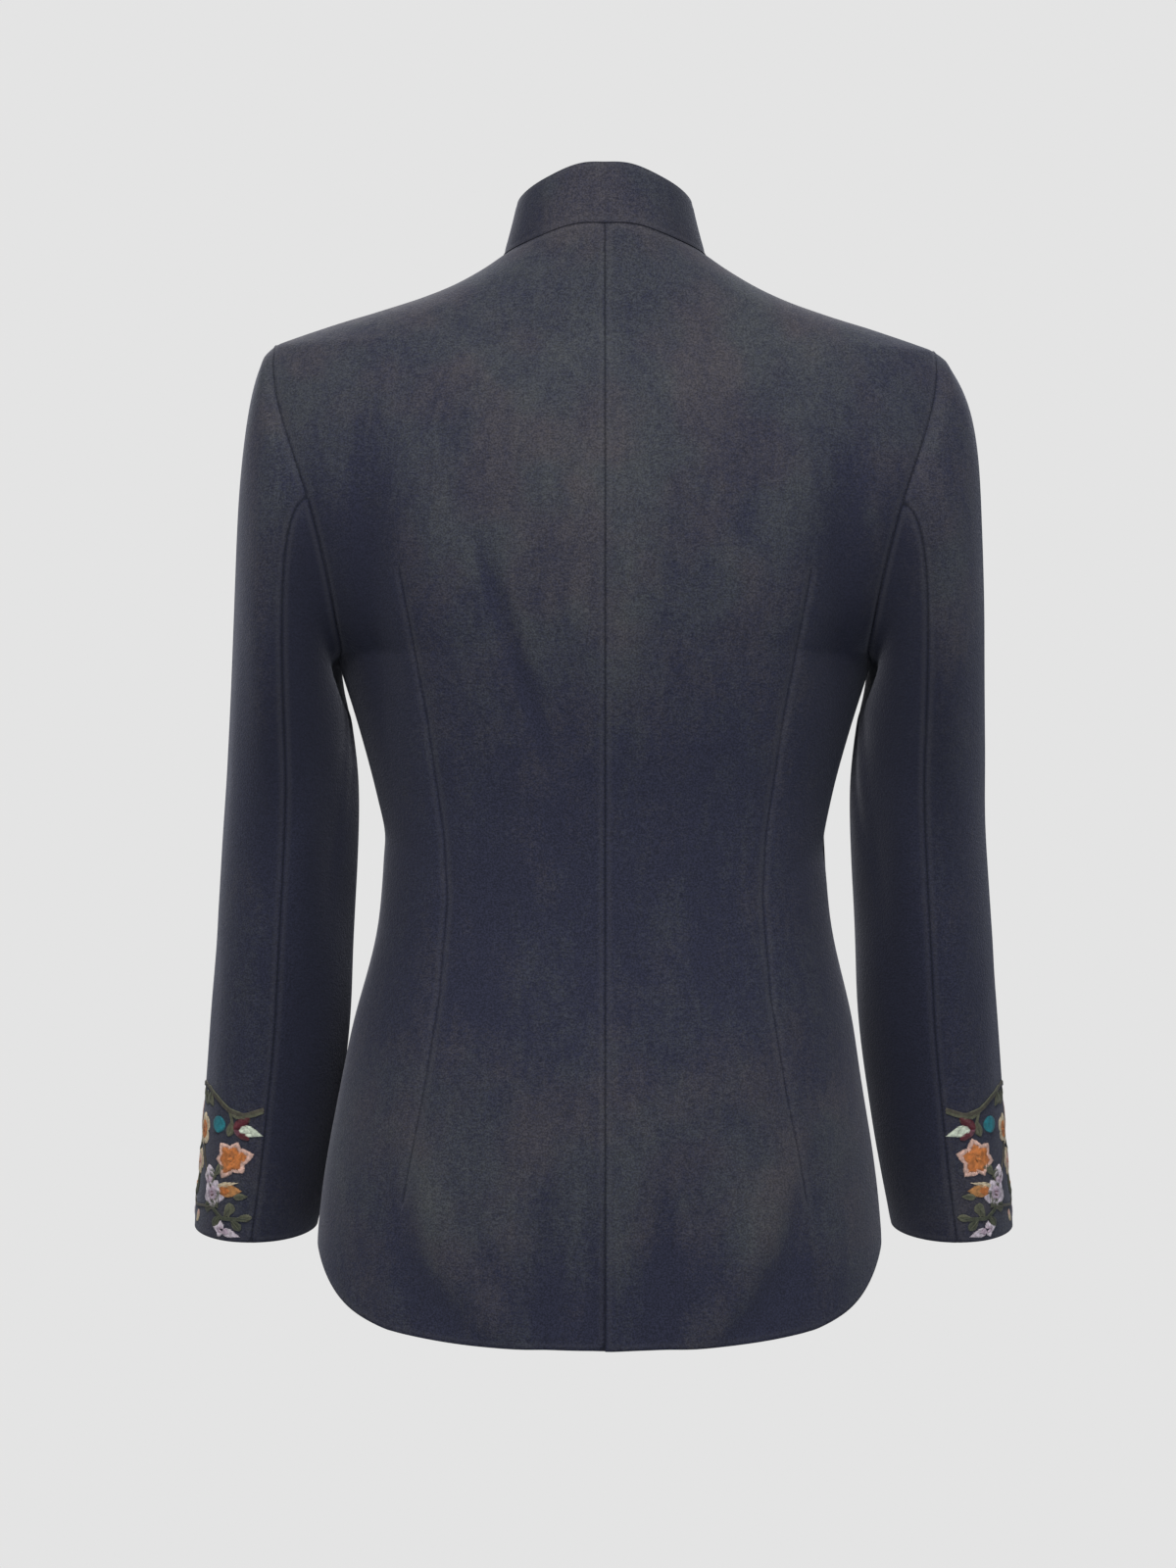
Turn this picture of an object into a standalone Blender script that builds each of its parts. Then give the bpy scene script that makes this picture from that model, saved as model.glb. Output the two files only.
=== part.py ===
"""Stand collar jacket, filled out as when worn, with every cut piece a separate cloth wall.

Metres, +Z up. The jacket's front faces -Y and the wearer's left is +X. The origin is the middle of
the neck at the height of the side neck points, where the wearer's shoulders carry the jacket.

Cloth surfaces are worked out from sections. An angle of 0 is centre back, 90 degrees is the side
seam and the shoulder seam, and 180 degrees is centre front.
"""

import math

import bmesh
import bpy
import numpy as np
from mathutils import Vector
from mathutils.bvhtree import BVHTree

# Driving dimensions.
WALL = 0.0018
SEAM_GAP = 0.0003
LAP_CLEARANCE = 0.0005

NECK_HALF_WIDTH = 0.061
NECK_BACK_DEPTH = 0.058
NECK_FRONT_DEPTH = 0.066
COLLAR_LEAN = 0.135
COLLAR_CURVE = 0.15
COLLAR_END = 0.003
COLLAR_CORNER = math.radians(9.0)

ARMPIT_HEIGHT = -0.243
SHOULDER_TIP_HEIGHT = -0.053
FRONT_YOKE_HEIGHT = -0.098

FRONT_LAP = 0.0195
LAP_STEP_END = 0.036
BUTTON_RADIUS = 0.0095
BUTTON_THICKNESS = 0.0032
BUTTON_HEIGHTS = (-0.088, -0.172, -0.256, -0.340, -0.424)

VENT_TOP = -0.545
VENT_BLEND = 0.03
VENT_STEP = 0.0011
DART_HALF_WIDTH = 0.0065
DART_DEPTH = 0.0011

BICEPS_HEIGHT = -0.285
CUFF_HEIGHT = -0.5845
SLEEVE_RADIUS = 0.05

# How the cloth of the arm cap leaves the armhole: outwards, towards the back or front, and downwards.
CAP_OUTWARD = 0.85
CAP_SIDEWAYS = 0.28
CAP_DOWNWARD = 0.45
CAP_DOWNWARD_AT_SHOULDER = 0.12
CAP_ROUNDING = 0.026
CAP_ROUNDING_LOST_AT_ARMPIT = 0.012

HALF_TURN = math.pi
SIDE = math.pi / 2

# Colours are scene-linear.
BACK_CLOTH = (0.042, 0.045, 0.061)
FRONT_CLOTH = (0.040, 0.043, 0.058)
COLLAR_CLOTH = (0.058, 0.060, 0.074)
UPPER_SLEEVE_CLOTH = (0.038, 0.041, 0.056)
UNDER_SLEEVE_CLOTH = (0.022, 0.024, 0.034)
BUTTON_COLOUR = (0.020, 0.021, 0.028)
CLOTH_ROUGHNESS = 0.95
BUTTON_ROUGHNESS = 0.45

# Horizontal sections of the torso, from below the hem to above the neck.
# Columns: height, half width, back depth, front depth, squareness of the oval.
TORSO_SECTIONS = (
    (-0.660, 0.1740, 0.1110, 0.1150, 2.20),
    (-0.592, 0.1730, 0.1120, 0.1150, 2.20),
    (-0.553, 0.1690, 0.1105, 0.1140, 2.20),
    (-0.494, 0.1580, 0.1030, 0.1110, 2.22),
    (-0.459, 0.1510, 0.0950, 0.1080, 2.24),
    (-0.420, 0.1405, 0.0865, 0.1045, 2.26),
    (-0.391, 0.1350, 0.0830, 0.1030, 2.28),
    (-0.350, 0.1330, 0.0825, 0.1040, 2.30),
    (-0.317, 0.1385, 0.0865, 0.1085, 2.30),
    (-0.297, 0.1440, 0.0900, 0.1130, 2.30),
    (-0.270, 0.1520, 0.0950, 0.1185, 2.30),
    (-0.243, 0.1600, 0.0990, 0.1210, 2.32),
    (-0.220, 0.1790, 0.1015, 0.1205, 2.36),
    (-0.190, 0.2000, 0.1025, 0.1170, 2.38),
    (-0.148, 0.2175, 0.0995, 0.1070, 2.38),
    (-0.115, 0.2230, 0.0940, 0.0950, 2.34),
    (-0.090, 0.2220, 0.0870, 0.0840, 2.30),
    (-0.070, 0.2155, 0.0795, 0.0725, 2.26),
    (-0.060, 0.2080, 0.0750, 0.0660, 2.23),
    (-0.053, 0.1975, 0.0720, 0.0585, 2.22),
    (-0.049, 0.1857, 0.0707, 0.0543, 2.21),
    (-0.037, 0.1460, 0.0675, 0.0440, 2.20),
    (-0.021, 0.0980, 0.0640, 0.0330, 2.20),
    (-0.010, 0.0765, 0.0620, 0.0270, 2.20),
    (0.000, 0.0610, 0.0605, 0.0230, 2.20),
    (0.0134, 0.0515, 0.0580, 0.0200, 2.20),
    (0.030, 0.0440, 0.0540, 0.0180, 2.20),
)

# Shirt-tail hem. Columns: share of the half width out from the centre, height.
HEM_SWEEP = (
    (0.00, -0.6440),
    (0.33, -0.6428),
    (0.60, -0.6390),
    (0.78, -0.6325),
    (0.89, -0.6210),
    (0.95, -0.6085),
    (1.00, -0.5900),
)

# Armhole. Columns: turn in degrees from the shoulder down to the armpit, distance from the centre
# along the back, distance from the centre along the front.
ARMHOLE = (
    (0.0, 0.1975, 0.1975),
    (36.0, 0.1966, 0.1935),
    (54.0, 0.1928, 0.1865),
    (72.0, 0.1845, 0.1765),
    (90.0, 0.1745, 0.1665),
    (126.0, 0.1612, 0.1545),
    (162.0, 0.1565, 0.1540),
    (180.0, 0.1600, 0.1600),
)

# Line of the back dart. Columns: height, distance from centre back.
BACK_DART = (
    (-0.600, 0.1240),
    (-0.560, 0.1186),
    (-0.495, 0.1057),
    (-0.443, 0.0974),
    (-0.385, 0.0928),
    (-0.349, 0.0946),
    (-0.278, 0.1046),
    (-0.194, 0.1200),
    (-0.120, 0.1270),
)
BACK_DART_ENDS = (-0.562, -0.192)

# Line of the front waist dart. Columns: height, distance from centre front.
FRONT_DART = (
    (-0.600, 0.0930),
    (-0.500, 0.0860),
    (-0.385, 0.0810),
    (-0.278, 0.0880),
    (-0.120, 0.1000),
)
FRONT_DART_ENDS = (-0.490, -0.268)

# Sleeve sections for the wearer's left arm.
# Columns: height, centre x, centre y, half width x, half depth y, forward tilt of the section.
SLEEVE_SECTIONS = (
    (-0.6200, 0.2170, -0.0430, 0.0370, 0.0455, 0.180),
    (-0.5845, 0.2125, -0.0380, 0.0377, 0.0460, 0.165),
    (-0.5450, 0.2065, -0.0320, 0.0396, 0.0480, 0.150),
    (-0.5000, 0.2010, -0.0260, 0.0415, 0.0500, 0.130),
    (-0.4600, 0.1966, -0.0200, 0.0424, 0.0525, 0.105),
    (-0.4060, 0.1929, -0.0120, 0.0413, 0.0555, 0.065),
    (-0.3470, 0.1892, -0.0060, 0.0408, 0.0585, 0.025),
    (-0.3170, 0.1880, -0.0040, 0.0400, 0.0600, 0.010),
    (-0.2850, 0.1888, -0.0020, 0.0376, 0.0610, 0.000),
)

# The right side of the skirt hangs a little closer. Columns: height, share of the left half width.
RIGHT_SKIRT = (
    (-0.660, 0.962),
    (-0.560, 0.966),
    (-0.500, 0.976),
    (-0.400, 1.000),
    (0.060, 1.000),
)

# The right sleeve stands a little fuller above the elbow. Columns: height, extra reach outwards.
RIGHT_SLEEVE = (
    (-0.620, -0.0010),
    (-0.350, 0.0000),
    (-0.290, 0.0030),
    (-0.200, 0.0062),
    (-0.100, 0.0072),
    (-0.055, 0.0040),
)
ARMHOLE_LIMIT = 0.1975
SLEEVE_REACH = 0.018

# The right shoulder is a little lower, from the chest upwards and from the neck outwards.
SHOULDER_DROP = 0.0035
SHOULDER_DROP_FROM = -0.25
SHOULDER_DROP_RISE = 0.12
SHOULDER_DROP_SPAN = 0.07

# Height of the collar band round the neck. Columns: angle from centre back in degrees, height.
COLLAR_BAND = (
    (0.0, 0.0370),
    (45.0, 0.0360),
    (90.0, 0.0320),
    (180.0, 0.0300),
)

# A fold fades out from its line's ends over this share of its length, inside and beyond the ends.
FOLD_BEYOND = 0.25
FOLD_FADE = 0.45

# Largest soft folds of the torso. Each runs along a straight line on one face of the jacket.
# Columns: face (back is 1, front is -1), start x, start height, end x, end height,
# half width, depth outwards (a trough is negative).
TORSO_FOLDS = (
    (1, 0.1400, -0.135, 0.1330, -0.285, 0.013, -0.0026),
    (1, -0.1390, -0.140, -0.1350, -0.262, 0.013, -0.0024),
    (1, 0.0720, -0.180, 0.0370, -0.290, 0.012, -0.0016),
    (1, 0.0320, -0.570, 0.0330, -0.648, 0.014, -0.0024),
    (1, -0.0340, -0.566, -0.0340, -0.648, 0.014, -0.0024),
    (1, 0.1000, -0.540, 0.0480, -0.628, 0.020, 0.0020),
    (1, -0.1000, -0.540, -0.0450, -0.630, 0.020, 0.0020),
    (-1, 0.1350, -0.150, 0.1180, -0.250, 0.016, -0.0026),
    (-1, -0.1370, -0.145, -0.1220, -0.262, 0.016, -0.0028),
    (-1, 0.1050, -0.545, 0.0950, -0.640, 0.020, -0.0022),
    (-1, -0.1120, -0.540, -0.0980, -0.640, 0.020, -0.0022),
)

# Largest soft folds of the left sleeve, mirrored on the right.
# Columns: start angle in degrees from the outer side, start height, end angle, end height,
# half width, depth outwards.
SLEEVE_FOLDS = (
    (292.0, -0.345, 236.0, -0.372, 0.012, -0.0030),
    (284.0, -0.395, 228.0, -0.412, 0.011, -0.0022),
    (58.0, -0.215, 92.0, -0.330, 0.013, 0.0018),
    (118.0, -0.300, 150.0, -0.400, 0.014, -0.0022),
)

# Rows and columns of the cloth grids.
SKIRT_ROWS = 13
SKIRT_LEVEL = -0.62
ARMHOLE_ROWS = 10
YOKE_ROWS = 6
BACK_CENTRE_COLUMNS = 5
FRONT_CENTRE_COLUMNS = 7
SIDE_COLUMNS = 5
LAP_MARKS = (-FRONT_LAP, -COLLAR_END, COLLAR_END, FRONT_LAP, LAP_STEP_END)
LAP_COLUMNS = 4
COLLAR_END_COLUMN = 2
CAP_ROWS = 7
ARM_ROWS = 11
COLLAR_ROWS = 4

# The sleeve seams, counted in steps of the armhole from the shoulder, over the back to the front.
ARMHOLE_STEP = HALF_TURN / ARMHOLE_ROWS
BACK_SEAM_STEP = 5
FRONT_SEAM_STEP = 14

# The turned section of a button. Columns: share of its radius, share of its thickness.
BUTTON_PROFILE = (
    (0.00, 0.00),
    (0.80, 0.00),
    (1.00, 0.30),
    (1.00, 0.70),
    (0.86, 1.00),
    (0.70, 0.72),
    (0.00, 0.72),
)
BUTTON_STEPS = 16
BUTTON_TEST_STEPS = 8
BUTTON_TEST_REACH = 0.02

# Small steps for slopes taken from two nearby points, and other settings of the calculation.
HEIGHT_STEP = 0.002
TURN_STEP = 0.01
SEAM_STEP = 0.05
NECK_SEARCH = (-0.12, 0.03)
NECK_SEARCH_ROUNDS = 40
SHARP_ANGLE = math.radians(40.0)
MERGE_DISTANCE = 1e-6


def smooth_table(rows):
    """Return a function that reads all columns of a table at a place in its first column.

    The columns are joined by monotone cubic curves, so the surface has no ripples between rows.
    """
    data = np.array(rows, dtype=float)
    places, values = data[:, 0], data[:, 1:]
    steps = np.diff(places)
    rises = np.diff(values, axis=0) / steps[:, None]
    slopes = np.empty_like(values)
    slopes[0], slopes[-1] = rises[0], rises[-1]
    before, after = rises[:-1], rises[1:]
    turning = before * after <= 0
    total = np.where(turning, 1.0, before + after)
    slopes[1:-1] = np.where(turning, 0.0, 2 * before * after / total)

    def read(place):
        place = min(max(place, places[0]), places[-1])
        k = min(int(np.searchsorted(places, place, side="right")) - 1, len(steps) - 1)
        t = (place - places[k]) / steps[k]
        start = (1 + 2 * t) * (1 - t) ** 2 * values[k] + t * (1 - t) ** 2 * steps[k] * slopes[k]
        end = t * t * (3 - 2 * t) * values[k + 1] - t * t * (1 - t) * steps[k] * slopes[k + 1]
        return start + end

    return read


torso_section = smooth_table(TORSO_SECTIONS)
sleeve_section = smooth_table(SLEEVE_SECTIONS)
hem_sweep = smooth_table(HEM_SWEEP)
armhole_line = smooth_table(ARMHOLE)
right_skirt_share = smooth_table(RIGHT_SKIRT)
right_sleeve_fullness = smooth_table(RIGHT_SLEEVE)
back_dart_line = smooth_table(BACK_DART)
front_dart_line = smooth_table(FRONT_DART)
collar_band = smooth_table(COLLAR_BAND)


def lerp(a, b, t):
    return a + (b - a) * t


def ease(t):
    t = min(max(t, 0.0), 1.0)
    return t * t * (3 - 2 * t)


def signed_power(value, power):
    return math.copysign(abs(value) ** power, value)


def fold_offset(across, along, half_width, depth):
    """Depth of one soft fold, at a distance across it and a share along it."""
    if not -FOLD_BEYOND < along < 1 + FOLD_BEYOND:
        return 0.0
    fade = ease((along + FOLD_BEYOND) / FOLD_FADE) * ease((1 + FOLD_BEYOND - along) / FOLD_FADE)
    return depth * fade * math.exp(-((across / half_width) ** 2))


def line_place(u, v, u0, v0, u1, v1):
    """Distance across and share along the line from (u0, v0) to (u1, v1)."""
    du, dv = u1 - u0, v1 - v0
    length = math.hypot(du, dv)
    along = ((u - u0) * du + (v - v0) * dv) / length ** 2
    across = ((u - u0) * dv - (v - v0) * du) / length
    return across, along


# The torso surface.


def torso_xy(angle, height):
    """Plan position on the torso's outer surface for an angle measured from centre back."""
    half_width, back, front, power = torso_section(height)
    depth = back if math.cos(angle) > 0 else front
    x = half_width * signed_power(math.sin(angle), 2 / power)
    y = depth * signed_power(math.cos(angle), 2 / power)
    return x, y


def torso_angle(x, height, front=False):
    """Angle at which the torso's surface lies at a distance x from the centre."""
    half_width, _, _, power = torso_section(height)
    angle = math.asin(max(-1.0, min(1.0, signed_power(x / half_width, power / 2))))
    return HALF_TURN - angle if front else angle


def torso_level(x, y, height):
    """1 on the torso's surface, less inside it and more outside it."""
    half_width, back, front, power = torso_section(height)
    depth = back if y > 0 else front
    return (abs(x) / half_width) ** power + (abs(y) / depth) ** power


def torso_normal(x, y, height):
    """Outward normal of the torso's surface."""
    half_width, back, front, power = torso_section(height)
    depth = back if y > 0 else front
    across = power / half_width * signed_power(x / half_width, power - 1)
    deep = power / depth * signed_power(y / depth, power - 1)
    above, below = torso_level(x, y, height + HEIGHT_STEP), torso_level(x, y, height - HEIGHT_STEP)
    rise = (above - below) / (2 * HEIGHT_STEP)
    return Vector((across, deep, rise)).normalized()


def torso_fold(x, y, height):
    """How far the largest folds move the torso's surface outwards."""
    total = 0.0
    for face, x0, z0, x1, z1, half_width, depth in TORSO_FOLDS:
        if face * y > 0:
            across, along = line_place(x, height, x0, z0, x1, z1)
            total += fold_offset(across, along, half_width, depth)
    return total


def hem_height(angle):
    share = abs(math.sin(angle)) ** (2 / TORSO_SECTIONS[0][4])
    return float(hem_sweep(share)[0])


def armhole_place(turn):
    """Torso angle and height on the armhole. The turn is 0 at the shoulder, 90 degrees at the back."""
    front = math.sin(turn) < 0
    share = (1 - math.cos(turn)) / 2
    height = lerp(SHOULDER_TIP_HEIGHT, ARMPIT_HEIGHT, share)
    along_back, along_front = armhole_line(math.degrees(math.acos(math.cos(turn))))
    return torso_angle(along_front if front else along_back, height, front), height


def neck_place(turn):
    """Torso angle and height where the neck seam crosses the torso, at a turn from centre back."""
    depth = NECK_BACK_DEPTH if math.cos(turn) > 0 else NECK_FRONT_DEPTH
    x, y = NECK_HALF_WIDTH * math.sin(turn), depth * math.cos(turn)
    low, high = NECK_SEARCH
    for _ in range(NECK_SEARCH_ROUNDS):
        middle = (low + high) / 2
        if torso_level(x, y, middle) < 1:
            low = middle
        else:
            high = middle
    half_width, _, _, power = torso_section(low)
    across = signed_power(x / half_width, power / 2)
    angle = math.asin(max(-1.0, min(1.0, across)))
    return (angle if math.cos(turn) > 0 else HALF_TURN - angle), low


# The wearer's right side hangs a little differently from the left.


def settle(point, side, sleeve):
    """Place a point of the left half on its own side, with the right shoulder and skirt uneven."""
    x, y, z = point
    if side > 0:
        return Vector((x, y, z))
    if sleeve:
        x += float(right_sleeve_fullness(z)[0]) * ease((x - ARMHOLE_LIMIT) / SLEEVE_REACH)
    elif x > 0:
        x *= float(right_skirt_share(z)[0])
    high = ease((z - SHOULDER_DROP_FROM) / SHOULDER_DROP_RISE)
    z -= SHOULDER_DROP * high * ease((x - NECK_HALF_WIDTH) / SHOULDER_DROP_SPAN)
    return Vector((-x, y, z))


# Walls.


def wall_mesh(name, outer, inner, colour):
    """Make one closed wall between two grids of points, each a list of rows, and return its object."""
    rows, columns = len(outer), len(outer[0])
    bm = bmesh.new()
    outside = [[bm.verts.new(p) for p in row] for row in outer]
    inside = [[bm.verts.new(p) for p in row] for row in inner]
    for r in range(rows - 1):
        for c in range(columns - 1):
            bm.faces.new((outside[r][c], outside[r][c + 1], outside[r + 1][c + 1], outside[r + 1][c]))
            bm.faces.new((inside[r][c], inside[r + 1][c], inside[r + 1][c + 1], inside[r][c + 1]))
    rim = [(0, c) for c in range(columns - 1)] + [(r, columns - 1) for r in range(rows - 1)]
    rim += [(rows - 1, c) for c in range(columns - 1, 0, -1)] + [(r, 0) for r in range(rows - 1, 0, -1)]
    for here, there in zip(rim, rim[1:] + rim[:1]):
        out_here, out_there = outside[here[0]][here[1]], outside[there[0]][there[1]]
        in_here, in_there = inside[here[0]][here[1]], inside[there[0]][there[1]]
        # The two sides of a seam share one diagonal, so that they stay apart where the rim twists.
        if here < there:
            bm.faces.new((out_there, out_here, in_there))
            bm.faces.new((out_here, in_here, in_there))
        else:
            bm.faces.new((out_there, out_here, in_here))
            bm.faces.new((out_there, in_here, in_there))
    bmesh.ops.recalc_face_normals(bm, faces=bm.faces)
    return finish_object(name, bm, colour, CLOTH_ROUGHNESS)


def finish_object(name, bm, colour, roughness):
    """Turn a bmesh into a named object with smooth faces, sharp rims and its own material."""
    mesh = bpy.data.meshes.new(name)
    bm.to_mesh(mesh)
    bm.free()
    mesh.shade_smooth()
    mesh.set_sharp_from_angle(angle=SHARP_ANGLE)
    material = bpy.data.materials.new(name)
    material.use_nodes = True
    shader = material.node_tree.nodes["Principled BSDF"]
    shader.inputs["Base Color"].default_value = (*colour, 1.0)
    shader.inputs["Roughness"].default_value = roughness
    mesh.materials.append(material)
    piece = bpy.data.objects.new(name, mesh)
    bpy.context.scene.collection.objects.link(piece)
    return piece


# Fronts and backs.


def even_steps(start, end, count):
    """Values from start to end in even steps, both ends included."""
    return [lerp(start, end, k / count) for k in range(count + 1)]


def neck_turns(front):
    """Turns from centre back at which the columns of one back or front meet the neck seam."""
    if not front:
        return even_steps(0.0, SIDE, BACK_CENTRE_COLUMNS + SIDE_COLUMNS + 2)
    marks = [HALF_TURN - math.asin(x / NECK_HALF_WIDTH) for x in LAP_MARKS]
    rest = FRONT_CENTRE_COLUMNS + SIDE_COLUMNS + 3 - len(marks)
    return marks[:-1] + even_steps(marks[-1], SIDE, rest)


def panel_places(front):
    """Rows of (angle, height) pairs over one back or front, from the hem to the neck and shoulder."""
    dart_line = front_dart_line if front else back_dart_line
    centre_top = FRONT_YOKE_HEIGHT if front else SHOULDER_TIP_HEIGHT

    def row_angles(height, end):
        """Angles from the centre edge to the side edge, with three columns on the dart."""
        line = float(dart_line(height)[0])
        near, dart, far = (torso_angle(line + move, height, front)
                           for move in (-DART_HALF_WIDTH, 0.0, DART_HALF_WIDTH))
        if front:
            marks = [torso_angle(x, height, True) for x in LAP_MARKS]
            first = marks[:-1] + even_steps(marks[-1], near, FRONT_CENTRE_COLUMNS + 1 - len(marks))
        else:
            first = even_steps(0.0, near, BACK_CENTRE_COLUMNS)
        return first + [dart] + even_steps(far, end, SIDE_COLUMNS)

    places = []
    for r in range(SKIRT_ROWS):
        share = r / SKIRT_ROWS
        level = lerp(SKIRT_LEVEL, ARMPIT_HEIGHT, share)
        places.append([(a, lerp(hem_height(a), ARMPIT_HEIGHT, share)) for a in row_angles(level, SIDE)])
    for r in range(ARMHOLE_ROWS + 1):
        turn = HALF_TURN * (1 - r / ARMHOLE_ROWS)
        end, edge_height = armhole_place(-turn if front else turn)
        centre_height = lerp(ARMPIT_HEIGHT, centre_top, (1 - math.cos(HALF_TURN - turn)) / 2)
        angles = row_angles(edge_height, end)
        heights = [lerp(edge_height, centre_height, share ** 2)
                   for share in even_steps(1.0, 0.0, len(angles) - 1)]
        places.append(list(zip(angles, heights)))
    base = places[-1]
    for r in range(1, YOKE_ROWS + 1):
        row = []
        for (angle, height), turn in zip(base, neck_turns(front)):
            neck_angle, neck_height = neck_place(turn)
            t = r / YOKE_ROWS
            row.append((lerp(angle, neck_angle, t), lerp(height, neck_height, t)))
        places.append(row)
    return places


def panel(name, side, front, colour):
    """One back or front. The side is 1 for the wearer's left and -1 for the wearer's right."""
    places = panel_places(front)
    dart_column = (FRONT_CENTRE_COLUMNS if front else BACK_CENTRE_COLUMNS) + 1
    dart_low, dart_high = FRONT_DART_ENDS if front else BACK_DART_ENDS
    last = len(places[0]) - 1
    outer, inner = [], []
    for r, row in enumerate(places):
        outer_row, inner_row = [], []
        for c, (angle, height) in enumerate(row):
            x, y = torso_xy(angle, height)
            normal = torso_normal(x, y, height)
            armhole_row = r - SKIRT_ROWS
            on_seam = not 0 < armhole_row < ARMHOLE_ROWS
            if c == last and 0 <= armhole_row <= ARMHOLE_ROWS:
                turn = HALF_TURN - armhole_row * ARMHOLE_STEP
                normal = armhole_normal(-turn if front else turn)
            out = normal
            if r == len(places) - 1:
                out = neck_normal(neck_turns(front)[c])
            move = torso_fold(x * side, y, height)
            if c == dart_column:
                along = (height - dart_low) / (dart_high - dart_low)
                if 0 < along < 1:
                    move -= DART_DEPTH * math.sin(HALF_TURN * along) ** 0.5
            if front and side > 0 and c < LAP_COLUMNS:
                move -= WALL + LAP_CLEARANCE
            if not front and height < VENT_TOP:
                share = ease((VENT_TOP - height) / VENT_BLEND) * ease(1 - abs(x) / VENT_BLEND)
                move -= side * VENT_STEP * share
            if c == 0 and not front:
                x = SEAM_GAP / 2
            if c == last:
                move = 0.0
                if on_seam:
                    y = -SEAM_GAP / 2 if front else SEAM_GAP / 2
            point = Vector((x, y, height)) + normal * move
            outer_row.append(settle(point, side, False))
            inner_row.append(settle(point - out * WALL, side, False))
        outer.append(outer_row)
        inner.append(inner_row)
    return wall_mesh(name, outer, inner, colour)


# Sleeves.


def sleeve_ring(turn, height):
    """Point of the left sleeve's tube below the arm cap, at a turn from its outer side to its back."""
    centre_x, centre_y, half_x, half_y, tilt = sleeve_section(height)
    x = half_x * math.cos(turn)
    y = half_y * math.sin(turn)
    point = Vector((centre_x + x, centre_y + y, height - tilt * y))
    out = Vector((math.cos(turn), math.sin(turn), 0.0))
    return point + out * sleeve_fold(turn, height)


def sleeve_fold(turn, height):
    """How far the largest folds move the sleeve outwards."""
    total = 0.0
    for a0, z0, a1, z1, half_width, depth in SLEEVE_FOLDS:
        start, end = (math.radians(a) * SLEEVE_RADIUS for a in (a0, a1))
        place = (turn % (2 * HALF_TURN)) * SLEEVE_RADIUS
        across, along = line_place(place, height, start, z0, end, z1)
        total += fold_offset(across, along, half_width, depth)
    return total


def cap_start(turn):
    """First point of the arm cap on the armhole, and the direction in which the cloth leaves it."""
    angle, height = armhole_place(turn)
    x, y = torso_xy(angle, height)
    down = CAP_DOWNWARD + CAP_DOWNWARD_AT_SHOULDER * math.cos(turn)
    leave = Vector((CAP_OUTWARD, CAP_SIDEWAYS * math.sin(turn), -down)).normalized()
    return Vector((x, y, height)) + leave * SEAM_GAP, leave


def sleeve_point(turn, along):
    """Point of the left sleeve: along is 0 at the armhole, 1 at the biceps and 2 at the cuff."""
    if along >= 1:
        return sleeve_ring(turn, lerp(BICEPS_HEIGHT, CUFF_HEIGHT, along - 1))
    start, leave = cap_start(turn)
    end = sleeve_ring(turn, BICEPS_HEIGHT)
    below = sleeve_ring(turn, BICEPS_HEIGHT - HEIGHT_STEP)
    rise = (end - below).normalized()
    lost = CAP_ROUNDING_LOST_AT_ARMPIT * (1 - math.cos(turn)) / 2
    first = start + leave * (CAP_ROUNDING - lost)
    second = end + rise * (end - start).length / 2
    t = along
    near = start * (1 - t) ** 3 + first * 3 * t * (1 - t) ** 2
    point = near + second * 3 * t * t * (1 - t) + end * t ** 3
    out = Vector((math.cos(turn), math.sin(turn), 0.0))
    return point + out * sleeve_fold(turn, point.z) * ease(t)


def sleeve_normal(turn, along):
    """Outward normal of the left sleeve, shared with the torso at the armhole."""
    low, high = max(along - TURN_STEP, 0.0), min(along + TURN_STEP, 2.0)
    round_arm = sleeve_point(turn + TURN_STEP, along) - sleeve_point(turn - TURN_STEP, along)
    down_arm = sleeve_point(turn, high) - sleeve_point(turn, low)
    return down_arm.cross(round_arm).normalized()


def armhole_normal(turn):
    """Outward normal midway between the torso's and the sleeve's, where they meet on the armhole."""
    angle, height = armhole_place(turn)
    x, y = torso_xy(angle, height)
    return (torso_normal(x, y, height) + sleeve_normal(turn, 0.0)).normalized()


def sleeve_seam_side(turn, along, normal):
    """Direction across a sleeve seam at a place along it, towards larger turns."""
    low, high = max(along - SEAM_STEP, 0.0), min(along + SEAM_STEP, 2.0)
    return normal.cross(sleeve_point(turn, high) - sleeve_point(turn, low)).normalized()


def sleeve_piece(name, side, first_step, last_step, colour):
    """One half of a sleeve between two seams, with a column at each step of the armhole."""
    turns = [step * ARMHOLE_STEP for step in range(first_step, last_step + 1)]
    stations = [k / CAP_ROWS for k in range(CAP_ROWS)]
    stations += [1 + k / ARM_ROWS for k in range(ARM_ROWS + 1)]
    outer, inner = [], []
    for along in stations:
        outer_row, inner_row = [], []
        for turn in turns:
            point = sleeve_point(turn, along)
            normal = armhole_normal(turn) if along == 0 else sleeve_normal(turn, along)
            if turn in (turns[0], turns[-1]):
                inwards = 1 if turn == turns[0] else -1
                point += sleeve_seam_side(turn, along, normal) * inwards * SEAM_GAP / 2
            within = point - normal * WALL
            outer_row.append(settle(point, side, True))
            inner_row.append(settle(within, side, True))
        outer.append(outer_row)
        inner.append(inner_row)
    return wall_mesh(name, outer, inner, colour)


# Collar.


def collar_point(turn, rise):
    """Point of the stand collar: rise is 0 on the neck seam and 1 on its upper edge."""
    angle, height = neck_place(turn)
    x, y = torso_xy(angle, height)
    band = float(collar_band(abs(math.degrees(turn)))[0])
    shrink = 1 - COLLAR_LEAN * rise * (1 + COLLAR_CURVE * (1 - rise))
    return Vector((x * shrink, y * shrink, height + SEAM_GAP + band * rise))


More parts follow.
